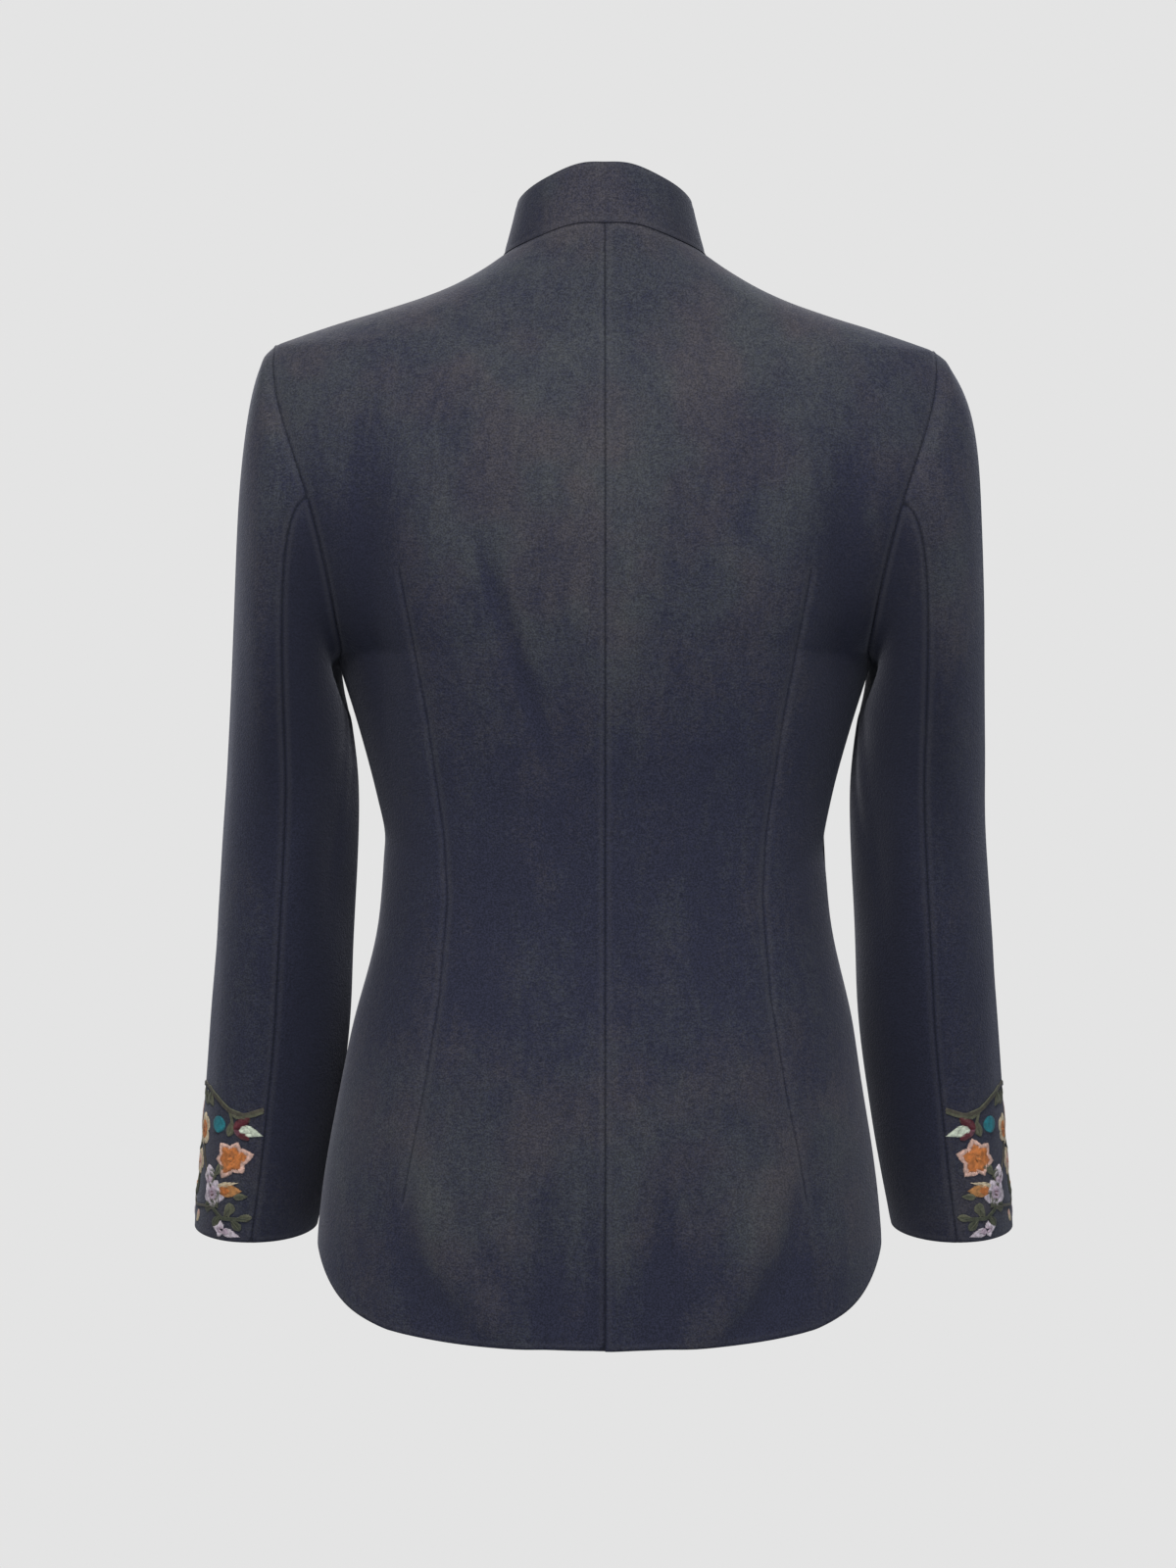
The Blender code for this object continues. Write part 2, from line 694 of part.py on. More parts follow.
def collar_normal(turn, rise):
    """Outward normal of the stand collar."""
    round_neck = collar_point(turn + TURN_STEP, rise) - collar_point(turn - TURN_STEP, rise)
    up_neck = collar_point(turn, rise + TURN_STEP) - collar_point(turn, rise - TURN_STEP)
    return up_neck.cross(round_neck).normalized()


def neck_normal(turn):
    """Outward normal midway between the torso's and the collar's, where they meet at the neck."""
    angle, height = neck_place(turn)
    x, y = torso_xy(angle, height)
    return (torso_normal(x, y, height) + collar_normal(turn, 0.0)).normalized()


def collar(colour):
    """One band round the neck, its columns on those of the backs and fronts."""
    half = neck_turns(False) + neck_turns(True)[-2:COLLAR_END_COLUMN:-1]
    outer, inner = [], []
    for r in range(COLLAR_ROWS + 1):
        rise = r / COLLAR_ROWS
        end = neck_turns(True)[COLLAR_END_COLUMN] - COLLAR_CORNER * rise ** 4
        left = half + [end]
        outer_row, inner_row = [], []
        for turn in [-turn for turn in left[:0:-1]] + left:
            point = collar_point(turn, rise)
            normal = neck_normal(turn) if r == 0 else collar_normal(turn, rise)
            outer_row.append(point)
            inner_row.append(point - normal * WALL)
        outer.append(outer_row)
        inner.append(inner_row)
    return wall_mesh("collar", outer, inner, colour)


# Buttons.


def cloth_reach(cloth, point, normal):
    """How far the cloth stands out along a normal, at its highest place under a button."""
    mesh = cloth.data
    tree = BVHTree.FromPolygons([v.co for v in mesh.vertices], [f.vertices for f in mesh.polygons])
    across = normal.orthogonal().normalized()
    along = normal.cross(across)
    reach = []
    for k in range(BUTTON_TEST_STEPS):
        turn = 2 * HALF_TURN * k / BUTTON_TEST_STEPS
        for radius in (0.0, 0.5 * BUTTON_RADIUS, BUTTON_RADIUS):
            place = point + (across * math.cos(turn) + along * math.sin(turn)) * radius
            hit = tree.ray_cast(place + normal * BUTTON_TEST_REACH, -normal)[0]
            reach.append((hit - point).dot(normal))
    return max(reach)


def button(name, height, cloth, colour):
    """A plain button with a rounded rim and a dished face, standing on the lapped front."""
    bm = bmesh.new()
    verts = [bm.verts.new((radius * BUTTON_RADIUS, 0.0, rise * BUTTON_THICKNESS))
             for radius, rise in BUTTON_PROFILE]
    edges = [bm.edges.new(pair) for pair in zip(verts, verts[1:])]
    bmesh.ops.spin(bm, geom=verts + edges, cent=(0, 0, 0), axis=(0, 0, 1), angle=2 * HALF_TURN,
                   steps=BUTTON_STEPS, use_merge=True)
    bmesh.ops.remove_doubles(bm, verts=bm.verts, dist=MERGE_DISTANCE)
    bmesh.ops.recalc_face_normals(bm, faces=bm.faces)
    x, y = torso_xy(HALF_TURN, height)
    normal = torso_normal(x, y, height)
    turn = normal.to_track_quat("Z", "Y")
    seat = Vector((x, y, height))
    seat += normal * (SEAM_GAP + cloth_reach(cloth, seat, normal))
    bmesh.ops.rotate(bm, verts=bm.verts, cent=(0, 0, 0), matrix=turn.to_matrix())
    bmesh.ops.translate(bm, verts=bm.verts, vec=seat)
    return finish_object(name, bm, colour, BUTTON_ROUGHNESS)


def main():
    for old in list(bpy.data.objects):
        bpy.data.objects.remove(old, do_unlink=True)
    fronts = []
    for label, side in (("left", 1), ("right", -1)):
        panel(f"back_{label}", side, False, BACK_CLOTH)
        fronts.append(panel(f"front_{label}", side, True, FRONT_CLOTH))
        sleeve_piece(f"sleeve_upper_{label}", side, FRONT_SEAM_STEP - 2 * ARMHOLE_ROWS,
                     BACK_SEAM_STEP, UPPER_SLEEVE_CLOTH)
        sleeve_piece(f"sleeve_under_{label}", side, BACK_SEAM_STEP, FRONT_SEAM_STEP,
                     UNDER_SLEEVE_CLOTH)
    collar(COLLAR_CLOTH)
    for k, height in enumerate(BUTTON_HEIGHTS):
        button(f"button_{k + 1}", height, fronts[-1], BUTTON_COLOUR)


main()
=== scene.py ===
# %% [markdown]
# # A stand collar jacket, filled out as worn
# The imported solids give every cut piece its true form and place. This file dresses them: each piece
# of cloth is smoothed and creased, the nap and the seams are drawn by materials, and the sewing that
# is too small for the solids (buttonholes, button thread, embroidered cuffs) is added as its own piece.

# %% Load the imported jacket
import math

import bmesh
import bpy
import numpy as np
from mathutils import Matrix, Vector, noise
from mathutils.bvhtree import BVHTree


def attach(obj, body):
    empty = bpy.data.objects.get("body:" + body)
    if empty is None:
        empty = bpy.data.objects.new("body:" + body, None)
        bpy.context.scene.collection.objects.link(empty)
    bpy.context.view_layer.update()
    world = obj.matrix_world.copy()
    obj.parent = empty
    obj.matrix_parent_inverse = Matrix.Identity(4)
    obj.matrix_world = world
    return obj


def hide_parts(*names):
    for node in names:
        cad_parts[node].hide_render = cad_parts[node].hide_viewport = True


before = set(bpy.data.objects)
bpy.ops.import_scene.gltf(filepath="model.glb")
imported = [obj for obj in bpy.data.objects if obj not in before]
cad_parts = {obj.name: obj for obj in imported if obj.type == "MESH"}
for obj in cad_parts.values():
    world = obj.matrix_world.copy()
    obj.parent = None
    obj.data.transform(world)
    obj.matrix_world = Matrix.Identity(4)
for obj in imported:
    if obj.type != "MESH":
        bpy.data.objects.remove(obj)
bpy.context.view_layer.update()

print("cut pieces and buttons:", sorted(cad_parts))

# %% [markdown]
# ## Helpers for working on one piece at a time
# Blender's operators act on whatever is selected, so each step first deselects everything and picks
# the one object that it works on. Coordinates are read and written in one go with NumPy, because a
# smoothed sleeve has tens of thousands of points.

# %% Pick a piece, read and move its points


def pick(piece):
    """Deselect everything, then select one piece and make it active."""
    bpy.ops.object.select_all(action="DESELECT")
    piece.select_set(True)
    bpy.context.view_layer.objects.active = piece


def points_of(mesh):
    """All points of a mesh as an array with one row each."""
    flat = np.empty(len(mesh.vertices) * 3)
    mesh.vertices.foreach_get("co", flat)
    return flat.reshape(-1, 3)


def normals_of(mesh):
    """The normal at each point of a mesh."""
    flat = np.empty(len(mesh.vertices) * 3, dtype=np.float32)
    mesh.vertex_normals.foreach_get("vector", flat)
    return flat.reshape(-1, 3).astype(float)


def set_points(mesh, points):
    """Write all points of a mesh."""
    mesh.vertices.foreach_set("co", np.asarray(points, dtype=np.float32).ravel())
    mesh.update()


def ease(share):
    """Rise smoothly from 0 to 1 as the share does."""
    share = np.clip(share, 0.0, 1.0)
    return share * share * (3 - 2 * share)


# %% [markdown]
# ## From a plain solid to smooth cloth
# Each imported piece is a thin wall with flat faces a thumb's width across. Real cloth runs smoothly
# through them. Remeshing would lose the crisp cut edges, so the copy gets a Subdivision Surface with
# its cut edges creased. That modifier alone would shrink the form, so its cage is first pushed out
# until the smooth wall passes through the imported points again.

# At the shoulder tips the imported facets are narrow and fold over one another, which would pinch the
# cloth. Three small steps even them out: the diagonals of the worst folds are turned, edges away from
# the wall's thin rim aren't taken as cut edges there, and the smoothed points near the tip are averaged.

# %% Find the folded facets at a shoulder tip
CUT_EDGE_ANGLE = math.radians(48)
TIP_LOWEST = -0.075
RIM_WIDTH = 0.0026
RIM_MOST = 0.0021


def turn_pinched_edges(mesh):
    """At the shoulder tips, turn the diagonals that fold a bent quad inwards, other than on the rim."""
    bm = bmesh.new()
    bm.from_mesh(mesh)
    bm.normal_update()
    rim = {f for f in bm.faces if min(e.calc_length() for e in f.edges) < RIM_WIDTH}
    pinched = [e for e in bm.edges if len(e.link_faces) == 2 and not rim.intersection(e.link_faces)
               and min(v.co.z for v in e.verts) > TIP_LOWEST and e.calc_face_angle() > CUT_EDGE_ANGLE]
    bmesh.ops.rotate_edges(bm, edges=pinched)
    bm.to_mesh(mesh)
    bm.free()
    return len(pinched)


def keep_rim_selected(piece):
    """Near the shoulder tips, leave selected only the sharp edges that border the wall's thin rim."""
    bm = bmesh.from_edit_mesh(piece.data)
    for edge in bm.edges:
        near_tip = min(v.co.z for v in edge.verts) > TIP_LOWEST
        thinnest = min(e.calc_length() for f in edge.link_faces for e in f.edges)
        if edge.select and near_tip and thinnest > RIM_MOST:
            edge.select = False
    bmesh.update_edit_mesh(piece.data)


# %% Copy, merge and smooth one cut piece
# The collar is small and even, so two levels are enough for it.
MERGE_DISTANCE = 2e-5
QUAD_FOLD, QUAD_SKEW = math.radians(40), math.radians(100)
SMOOTH_LEVELS = 3
COLLAR_LEVELS = 2
FIT_ROUNDS = 2
FIT_LIMIT = 0.0020


def merged_copy(node, name):
    """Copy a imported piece, merge its loose triangles into quads, and crease its cut edges."""
    piece = bpy.data.objects.new(name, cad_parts[node].data.copy())
    bpy.context.scene.collection.objects.link(piece)
    piece.data.materials.clear()
    pick(piece)
    bpy.ops.mesh.customdata_custom_splitnormals_clear()
    bpy.ops.object.mode_set(mode="EDIT")
    bpy.ops.mesh.select_mode(type="EDGE")
    bpy.ops.mesh.select_all(action="SELECT")
    bpy.ops.mesh.remove_doubles(threshold=MERGE_DISTANCE)
    bpy.ops.object.mode_set(mode="OBJECT")
    turned = turn_pinched_edges(piece.data)
    bpy.ops.object.mode_set(mode="EDIT")
    bpy.ops.mesh.select_all(action="SELECT")
    bpy.ops.mesh.tris_convert_to_quads(face_threshold=QUAD_FOLD, shape_threshold=QUAD_SKEW)
    bpy.ops.mesh.mark_sharp(clear=True)
    bpy.ops.mesh.select_all(action="DESELECT")
    bpy.ops.mesh.edges_select_sharp(sharpness=CUT_EDGE_ANGLE)
    keep_rim_selected(piece)
    bpy.ops.transform.edge_crease(value=1.0)
    bpy.ops.mesh.mark_sharp()
    bpy.ops.object.mode_set(mode="OBJECT")
    cut = sum(e.use_edge_sharp for e in piece.data.edges)
    print(f"{name}: {cut} cut edges of {len(piece.data.edges)}, {turned} edges turned at the shoulder tip")
    return piece


def smooth_cloth(piece, levels):
    """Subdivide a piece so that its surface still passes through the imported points."""
    modifier = piece.modifiers.new("Smooth cloth", "SUBSURF")
    modifier.levels = modifier.render_levels = levels
    wanted = points_of(piece.data)
    cage = wanted.copy()
    for _ in range(FIT_ROUNDS):
        bpy.context.view_layer.update()
        seen = piece.evaluated_get(bpy.context.evaluated_depsgraph_get())
        cage += wanted - points_of(seen.data)[:len(wanted)]
        set_points(piece.data, wanted + np.clip(cage - wanted, -FIT_LIMIT, FIT_LIMIT))
    pick(piece)
    bpy.ops.object.modifier_apply(modifier=modifier.name)
    miss = np.abs(points_of(piece.data)[:len(wanted)] - wanted).max()
    print(f"{piece.name}: {len(piece.data.polygons)} faces, within {miss * 1000:.2f} mm of the solid")


# %% Even out the smoothed shoulder tip
# Each round averages and then swells back a little more, so the cloth gets smoother but no smaller.
TIP_RADIUS = 0.040
TIP_ROUNDS = 50
TIP_AMOUNTS = (0.5, -0.52)


def calm_tip(piece):
    """Even out the narrow faces that meet at the shoulder tip, which would otherwise pinch the cloth."""
    mesh = piece.data
    points = points_of(mesh)
    pairs = np.array([tuple(e.vertices) for e in mesh.edges])
    reach = np.where(points[:, 2] > TIP_LOWEST, np.abs(points[:, 0]), 0.0)
    away = np.linalg.norm(points - points[reach.argmax()], axis=1)
    share = ease((TIP_RADIUS - away) / (TIP_RADIUS / 2))
    share[[k for e in mesh.edges if e.use_edge_sharp for k in e.vertices]] = 0.0
    count = np.bincount(pairs.ravel(), minlength=len(points))[:, None]
    for _ in range(TIP_ROUNDS):
        for amount in TIP_AMOUNTS:
            total = np.zeros_like(points)
            np.add.at(total, pairs[:, 0], points[pairs[:, 1]])
            np.add.at(total, pairs[:, 1], points[pairs[:, 0]])
            points += (total / count - points) * (share * amount)[:, None]
    set_points(mesh, points)
    print(f"{piece.name}: {int((share > 0).sum())} points calmed at the shoulder tip")


# %% [markdown]
# ## Which way is outwards
# A crease has to move both sides of the cloth together, or the wall would be pierced. So it needs a
# direction that is the same for both sides: away from the wearer's body for the jacket's trunk, and
# away from the arm for a sleeve.

# %% Directions away from the body and from an arm
BODY_LINE = ((0.0, 0.0, -0.660), (0.0, 0.0, -0.120))
BODY_ROUND = (0.19, 0.10, 0.15)
ARM_LINE = (
    (0.1500, 0.0000, -0.1250),
    (0.1860, -0.0030, -0.3000),
    (0.1929, -0.0120, -0.4060),
    (0.2010, -0.0260, -0.5000),
    (0.2125, -0.0380, -0.5845),
    (0.2170, -0.0430, -0.6200),
)
ARM_ROUND = (1.0, 1.0, 1.0)


def nearest_on_line(points, line):
    """The nearest place to each point on a line of straight stretches."""
    best = np.full(len(points), np.inf)
    place = np.zeros_like(points)
    for a, b in zip(line, line[1:]):
        a, b = np.array(a), np.array(b)
        share = np.clip((points - a) @ (b - a) / ((b - a) @ (b - a)), 0, 1)
        near = a + share[:, None] * (b - a)
        far = np.linalg.norm(points - near, axis=1)
        closer = far < best
        best[closer], place[closer] = far[closer], near[closer]
    return place


def outwards(points, line, roundness):
    """Unit directions away from a line inside the garment."""
    away = (points - nearest_on_line(points, line)) / np.square(roundness)
    return away / np.linalg.norm(away, axis=1)[:, None]


def arm_line(side):
    """The line inside the left (side 1) or right (side -1) sleeve."""
    return [(x * side, y, z) for x, y, z in ARM_LINE]


# %% [markdown]
# ## Creases placed one by one
# A filled-out jacket pulls into a few long soft folds: upright ones beside the armholes, a slanting
# one across the left shoulder blade, and curved ones where the skirt drapes off the hips. Cloth
# simulation would put folds of its own in other places, so each main fold is placed as a curve with
# its own widths and depth, and no two are alike.

# %% The folds of the trunk
# Columns: start, middle and end as (x, height), width before and after the line, depth outwards.
BACK_FOLDS = (
    ((0.142, -0.120), (0.139, -0.200), (0.128, -0.290), 0.007, 0.016, -0.0032),
    ((-0.146, -0.125), (-0.142, -0.190), (-0.134, -0.275), 0.014, 0.008, -0.0030),
    ((0.074, -0.180), (0.060, -0.226), (0.041, -0.286), 0.0028, 0.010, -0.0030),
    ((0.062, -0.186), (0.048, -0.226), (0.032, -0.282), 0.008, 0.008, 0.0015),
    ((0.104, -0.548), (0.088, -0.604), (0.046, -0.640), 0.008, 0.014, 0.0028),
    ((-0.104, -0.548), (-0.080, -0.612), (-0.043, -0.642), 0.014, 0.008, 0.0028),
    ((0.126, -0.545), (0.114, -0.600), (0.092, -0.630), 0.012, 0.010, -0.0020),
    ((-0.122, -0.540), (-0.106, -0.600), (-0.076, -0.636), 0.011, 0.013, -0.0021),
    ((-0.010, -0.165), (-0.010, -0.205), (-0.008, -0.250), 0.005, 0.009, 0.0012),
    ((0.007, -0.540), (0.006, -0.600), (0.006, -0.655), 0.006, 0.010, -0.0015),
    ((-0.006, -0.540), (-0.005, -0.600), (-0.005, -0.655), 0.005, 0.008, 0.0011),
    ((0.033, -0.560), (0.034, -0.610), (0.036, -0.650), 0.007, 0.009, -0.0024),
    ((-0.034, -0.556), (-0.035, -0.600), (-0.037, -0.650), 0.009, 0.007, -0.0025),
    ((0.064, -0.360), (0.070, -0.410), (0.082, -0.452), 0.012, 0.014, -0.0010),
    ((-0.060, -0.350), (-0.066, -0.400), (-0.080, -0.446), 0.014, 0.012, -0.0009),
    ((0.150, -0.330), (0.125, -0.352), (0.104, -0.360), 0.008, 0.010, -0.0012),
    ((-0.150, -0.336), (-0.128, -0.358), (-0.108, -0.372), 0.010, 0.008, -0.0013),
    ((0.100, -0.085), (0.080, -0.130), (0.075, -0.170), 0.016, 0.016, -0.0010),
    ((-0.095, -0.090), (-0.082, -0.135), (-0.085, -0.180), 0.017, 0.014, -0.0011),
    ((0.010, -0.120), (0.016, -0.170), (0.012, -0.230), 0.010, 0.014, 0.0007),
    ((-0.014, -0.150), (-0.018, -0.200), (-0.012, -0.260), 0.014, 0.010, 0.0010),
)
FRONT_FOLDS = (
    ((0.138, -0.130), (0.128, -0.195), (0.112, -0.262), 0.008, 0.015, -0.0020),
    ((-0.140, -0.126), (-0.132, -0.200), (-0.118, -0.270), 0.014, 0.008, -0.0022),
    ((0.150, -0.335), (0.120, -0.356), (0.092, -0.362), 0.009, 0.011, -0.0014),
    ((-0.150, -0.330), (-0.124, -0.348), (-0.095, -0.366), 0.010, 0.009, -0.0012),
    ((0.060, -0.186), (0.040, -0.214), (0.026, -0.252), 0.010, 0.013, 0.0010),
    ((-0.066, -0.180), (-0.046, -0.220), (-0.030, -0.262), 0.013, 0.009, 0.0011),
    ((0.108, -0.530), (0.100, -0.590), (0.090, -0.645), 0.012, 0.015, -0.0018),
    ((-0.114, -0.526), (-0.106, -0.584), (-0.100, -0.640), 0.015, 0.011, -0.0017),
    ((0.050, -0.540), (0.046, -0.590), (0.050, -0.645), 0.014, 0.012, 0.0012),
    ((-0.058, -0.536), (-0.050, -0.592), (-0.048, -0.645), 0.012, 0.015, 0.0013),
    ((0.062, -0.352), (0.072, -0.404), (0.088, -0.450), 0.012, 0.014, -0.0011),
    ((-0.058, -0.356), (-0.070, -0.410), (-0.082, -0.448), 0.014, 0.012, -0.0012),
)

# %% [markdown]
# A sleeve's folds run slantwise round the arm, deepest inside the elbow, where the cloth gives way.
# They are placed by an angle round the arm and a height, on the left sleeve, and the right sleeve has
# its own set, so that the pair isn't a mirror image.

# %% The folds of the sleeves
# Columns: start, middle and end as (degrees from the outer side towards the back, height),
# width before and after the line, depth outwards.
ARM_RADIUS = 0.048
UNROLL_CUT = 345
LEFT_SLEEVE_FOLDS = (
    ((300, -0.338), (268, -0.362), (232, -0.374), 0.006, 0.011, -0.0024),
    ((296, -0.378), (262, -0.398), (226, -0.402), 0.006, 0.010, -0.0019),
    ((286, -0.425), (258, -0.436), (232, -0.434), 0.007, 0.009, -0.0013),
    ((150, -0.262), (132, -0.316), (122, -0.392), 0.008, 0.013, -0.0021),
    ((176, -0.268), (160, -0.300), (140, -0.342), 0.007, 0.010, -0.0018),
    ((58, -0.140), (66, -0.210), (84, -0.320), 0.012, 0.012, 0.0016),
    ((28, -0.180), (22, -0.260), (26, -0.350), 0.016, 0.012, -0.0013),
    ((18, -0.410), (30, -0.452), (26, -0.510), 0.014, 0.012, -0.0010),
    ((332, -0.190), (322, -0.250), (318, -0.320), 0.012, 0.014, -0.0014),
    ((112, -0.436), (104, -0.490), (106, -0.545), 0.010, 0.013, -0.0013),
    ((196, -0.300), (200, -0.350), (214, -0.400), 0.008, 0.010, -0.0016),
)
RIGHT_SLEEVE_FOLDS = (
    ((304, -0.346), (270, -0.366), (236, -0.386), 0.006, 0.011, -0.0023),
    ((290, -0.392), (256, -0.406), (224, -0.404), 0.007, 0.010, -0.0017),
    ((282, -0.330), (262, -0.336), (240, -0.330), 0.006, 0.009, -0.0014),
    ((146, -0.270), (128, -0.330), (120, -0.410), 0.009, 0.013, -0.0020),
    ((180, -0.276), (160, -0.312), (138, -0.352), 0.007, 0.010, -0.0019),
    ((62, -0.150), (70, -0.230), (88, -0.330), 0.012, 0.012, 0.0015),
    ((24, -0.160), (18, -0.240), (24, -0.330), 0.014, 0.013, -0.0015),
    ((14, -0.430), (26, -0.470), (22, -0.520), 0.014, 0.012, -0.0009),
    ((330, -0.180), (318, -0.245), (320, -0.330), 0.012, 0.014, -0.0015),
    ((116, -0.420), (106, -0.480), (110, -0.536), 0.011, 0.012, -0.0014),
)

# %% [markdown]
# Each fold is turned into a short chain of straight stretches along a bent curve. For every point of
# the cloth the nearest place on the chain gives how far across the fold it lies and how far along,
# and the fold fades out towards both ends.

# %% Measure points against a curve and add up the folds
CURVE_STRETCHES = 12
FOLD_FADE = 0.28


def curve_through(start, middle, end):
    """Points along a curve that starts, bends and ends at three given places."""
    start, middle, end = (np.array(p, dtype=float) for p in (start, middle, end))
    bend = 2 * middle - (start + end) / 2
    share = np.linspace(0, 1, CURVE_STRETCHES + 1)[:, None]
    return start * (1 - share) ** 2 + bend * 2 * share * (1 - share) + end * share ** 2


def across_and_along(flat, chain):
    """Signed distance across a chain of stretches, and share of the way along it, for 2D points."""
    best = np.full(len(flat), np.inf)
    across = np.zeros(len(flat))
    along = np.zeros(len(flat))
    for k, (a, b) in enumerate(zip(chain, chain[1:])):
        step = b - a
        length = np.hypot(*step)
        away = flat - a
        share = away @ step / length ** 2
        low = -np.inf if k == 0 else 0.0
        high = np.inf if k == len(chain) - 2 else 1.0
        held = np.clip(share, low, high)
        gap = away - held[:, None] * step
        far = np.hypot(gap[:, 0], gap[:, 1])
        side = np.sign(away[:, 0] * step[1] - away[:, 1] * step[0])
        closer = far < best
        best[closer] = far[closer]
        across[closer] = (far * side)[closer]
        along[closer] = ((k + held) / (len(chain) - 1))[closer]
    return across, along


def fold_depths(flat, folds):
    """Sum of the folds at 2D points, outwards positive."""
    total = np.zeros(len(flat))
    for start, middle, end, before, after, depth in folds:
        across, along = across_and_along(flat, curve_through(start, middle, end))
        width = np.where(across < 0, before, after)
        fade = ease((along + FOLD_FADE) / (2 * FOLD_FADE)) * ease((1 + FOLD_FADE - along) / (2 * FOLD_FADE))
        total += depth * fade * np.exp(-np.square(across / width))
    return total


def sleeve_flat(points, line, side):
    """Unroll a sleeve: distance round the arm from its outer side, and height."""
    away = points - nearest_on_line(points, line)
    turn = np.degrees(np.arctan2(away[:, 1], away[:, 0] * side)) % 360
    turn = np.where(turn > UNROLL_CUT, turn - 360, turn)
    return np.column_stack((np.radians(turn) * ARM_RADIUS, points[:, 2]))


def sleeve_folds(side):
    """The folds of one sleeve, with their angles turned into distances round the arm."""
    folds = LEFT_SLEEVE_FOLDS if side > 0 else RIGHT_SLEEVE_FOLDS
    rolled = []
    for start, middle, end, before, after, depth in folds:
        places = [(math.radians(turn) * ARM_RADIUS, z) for turn, z in (start, middle, end)]
        rolled.append((*places, before, after, depth))
    return rolled


# %% [markdown]
# ## Seams that sink into the cloth
# Where two pieces are sewn together the cloth turns in towards the stitches, so each cut edge is
# drawn down by less than a millimetre. How far every point lies from the nearest cut edge is kept on
# the mesh as an attribute, which the material reads to draw the seam line itself.

# %% Keep distances on the mesh
# Lines of the darts. Columns: height, distance from the centre. Past its two ends a dart fades.
DISTANCE_LIMIT = 0.030
BACK_DART = ((-0.600, 0.1240), (-0.560, 0.1186), (-0.495, 0.1057), (-0.443, 0.0974), (-0.385, 0.0928),
             (-0.349, 0.0946), (-0.278, 0.1046), (-0.194, 0.1200), (-0.120, 0.1270))
BACK_DART_ENDS = (-0.562, -0.192)
FRONT_DART = ((-0.600, 0.0930), (-0.500, 0.0860), (-0.385, 0.0810), (-0.278, 0.0880), (-0.120, 0.1000))
FRONT_DART_ENDS = (-0.490, -0.268)


def keep_number(mesh, name, values):
    """Keep one number a point on a mesh, for its material to read."""
    layer = mesh.attributes.get(name) or mesh.attributes.new(name, "FLOAT", "POINT")
    layer.data.foreach_set("value", np.asarray(values, dtype=np.float32))


def cut_edges(piece):
    """Distance of each point to the nearest cut edge, which the smoothing has kept marked as sharp."""
    mesh = piece.data
    pairs = [[mesh.vertices[k].co.copy() for k in e.vertices] for e in mesh.edges if e.use_edge_sharp]
    places = [p for a, b in pairs for p in (a, b, b)]
    slivers = [(3 * k, 3 * k + 1, 3 * k + 2) for k in range(len(pairs))]
    tree = BVHTree.FromPolygons(places, slivers, epsilon=0.0)
    near = [tree.find_nearest(v.co, DISTANCE_LIMIT)[3] for v in mesh.vertices]
    return np.array([DISTANCE_LIMIT if d is None else d for d in near])


def dart_distance(points, front):
    """Signed distance to the dart line on one face, growing past the dart's ends so that it fades."""
    rows, ends = (FRONT_DART, FRONT_DART_ENDS) if front else (BACK_DART, BACK_DART_ENDS)
    heights, places = zip(*rows)
    z = points[:, 2]
    beyond = np.maximum(np.maximum(ends[0] - z, z - ends[1]), 0.0)
    away = np.abs(points[:, 0]) - np.interp(z, heights, places)
    return np.clip(away + np.sign(away + 1e-9) * beyond, -DISTANCE_LIMIT, DISTANCE_LIMIT)


# %% [markdown]
# Painted shade: where the arm and the body shade each other, on the inner side of the sleeves, the
# sides of the body and most of all in the armpit, the cloth is painted darker, and so are the collar's
# sides, which turn away from the light. Each mask below rises from 0 to 1 over one stretch of
# height, width or direction, given as where it starts and where it is full.

# %% Where shade is painted
PAINTED_SHADE_TOP = (-0.120, -0.180)
SLEEVE_INNER = (-0.30, 0.40)
SLEEVE_ARMPIT, SLEEVE_ARMPIT_LOW, SLEEVE_ARMPIT_AMOUNT = (-0.62, -0.12), (-0.42, -0.28), 1.25
TRUNK_LOW, TRUNK_SIDE, TRUNK_SIDE_AMOUNT = (-0.51, -0.39), (0.090, 0.145), 0.75
TRUNK_ARMPIT_LOW, TRUNK_ARMPIT_TOP = (-0.42, -0.26), (-0.15, -0.23)
TRUNK_ARMPIT_SIDE, TRUNK_ARMPIT_AMOUNT = (0.118, 0.153), 0.45
COLLAR_SIDE = (0.026, 0.056)


def rise(value, stretch):
    """Rise smoothly from 0 to 1 over a stretch, which may run either way."""
    start, full = stretch
    return ease((value - start) / (full - start))


def painted_shade_mask(points, away, kind, side):
    """Painted shade between the arm and the side of the body, deepest in the armpit, and at the collar's
    sides.
    """
    wide, height = np.abs(points[:, 0]), points[:, 2]
    if kind == "collar":
        return rise(wide, COLLAR_SIDE)
    if kind == "sleeve":
        inwards = -away[:, 0] * side
        armpit = rise(height, SLEEVE_ARMPIT_LOW) * rise(inwards, SLEEVE_ARMPIT)
        painted_tone = np.maximum(rise(inwards, SLEEVE_INNER), SLEEVE_ARMPIT_AMOUNT * armpit)
    else:
        armpit = rise(height, TRUNK_ARMPIT_LOW) * rise(height, TRUNK_ARMPIT_TOP)
        painted_tone = rise(height, TRUNK_LOW) * (TRUNK_SIDE_AMOUNT * rise(wide, TRUNK_SIDE)
                                          + TRUNK_ARMPIT_AMOUNT * armpit * rise(wide, TRUNK_ARMPIT_SIDE))
    return painted_tone * rise(height, PAINTED_SHADE_TOP)


# %% [markdown]
# ## Dress every cut piece
# All the pieces go through the same steps: merge, smooth, fold, sink the seams. Neighbours use the
# same folds and directions, so their edges still meet after every step.

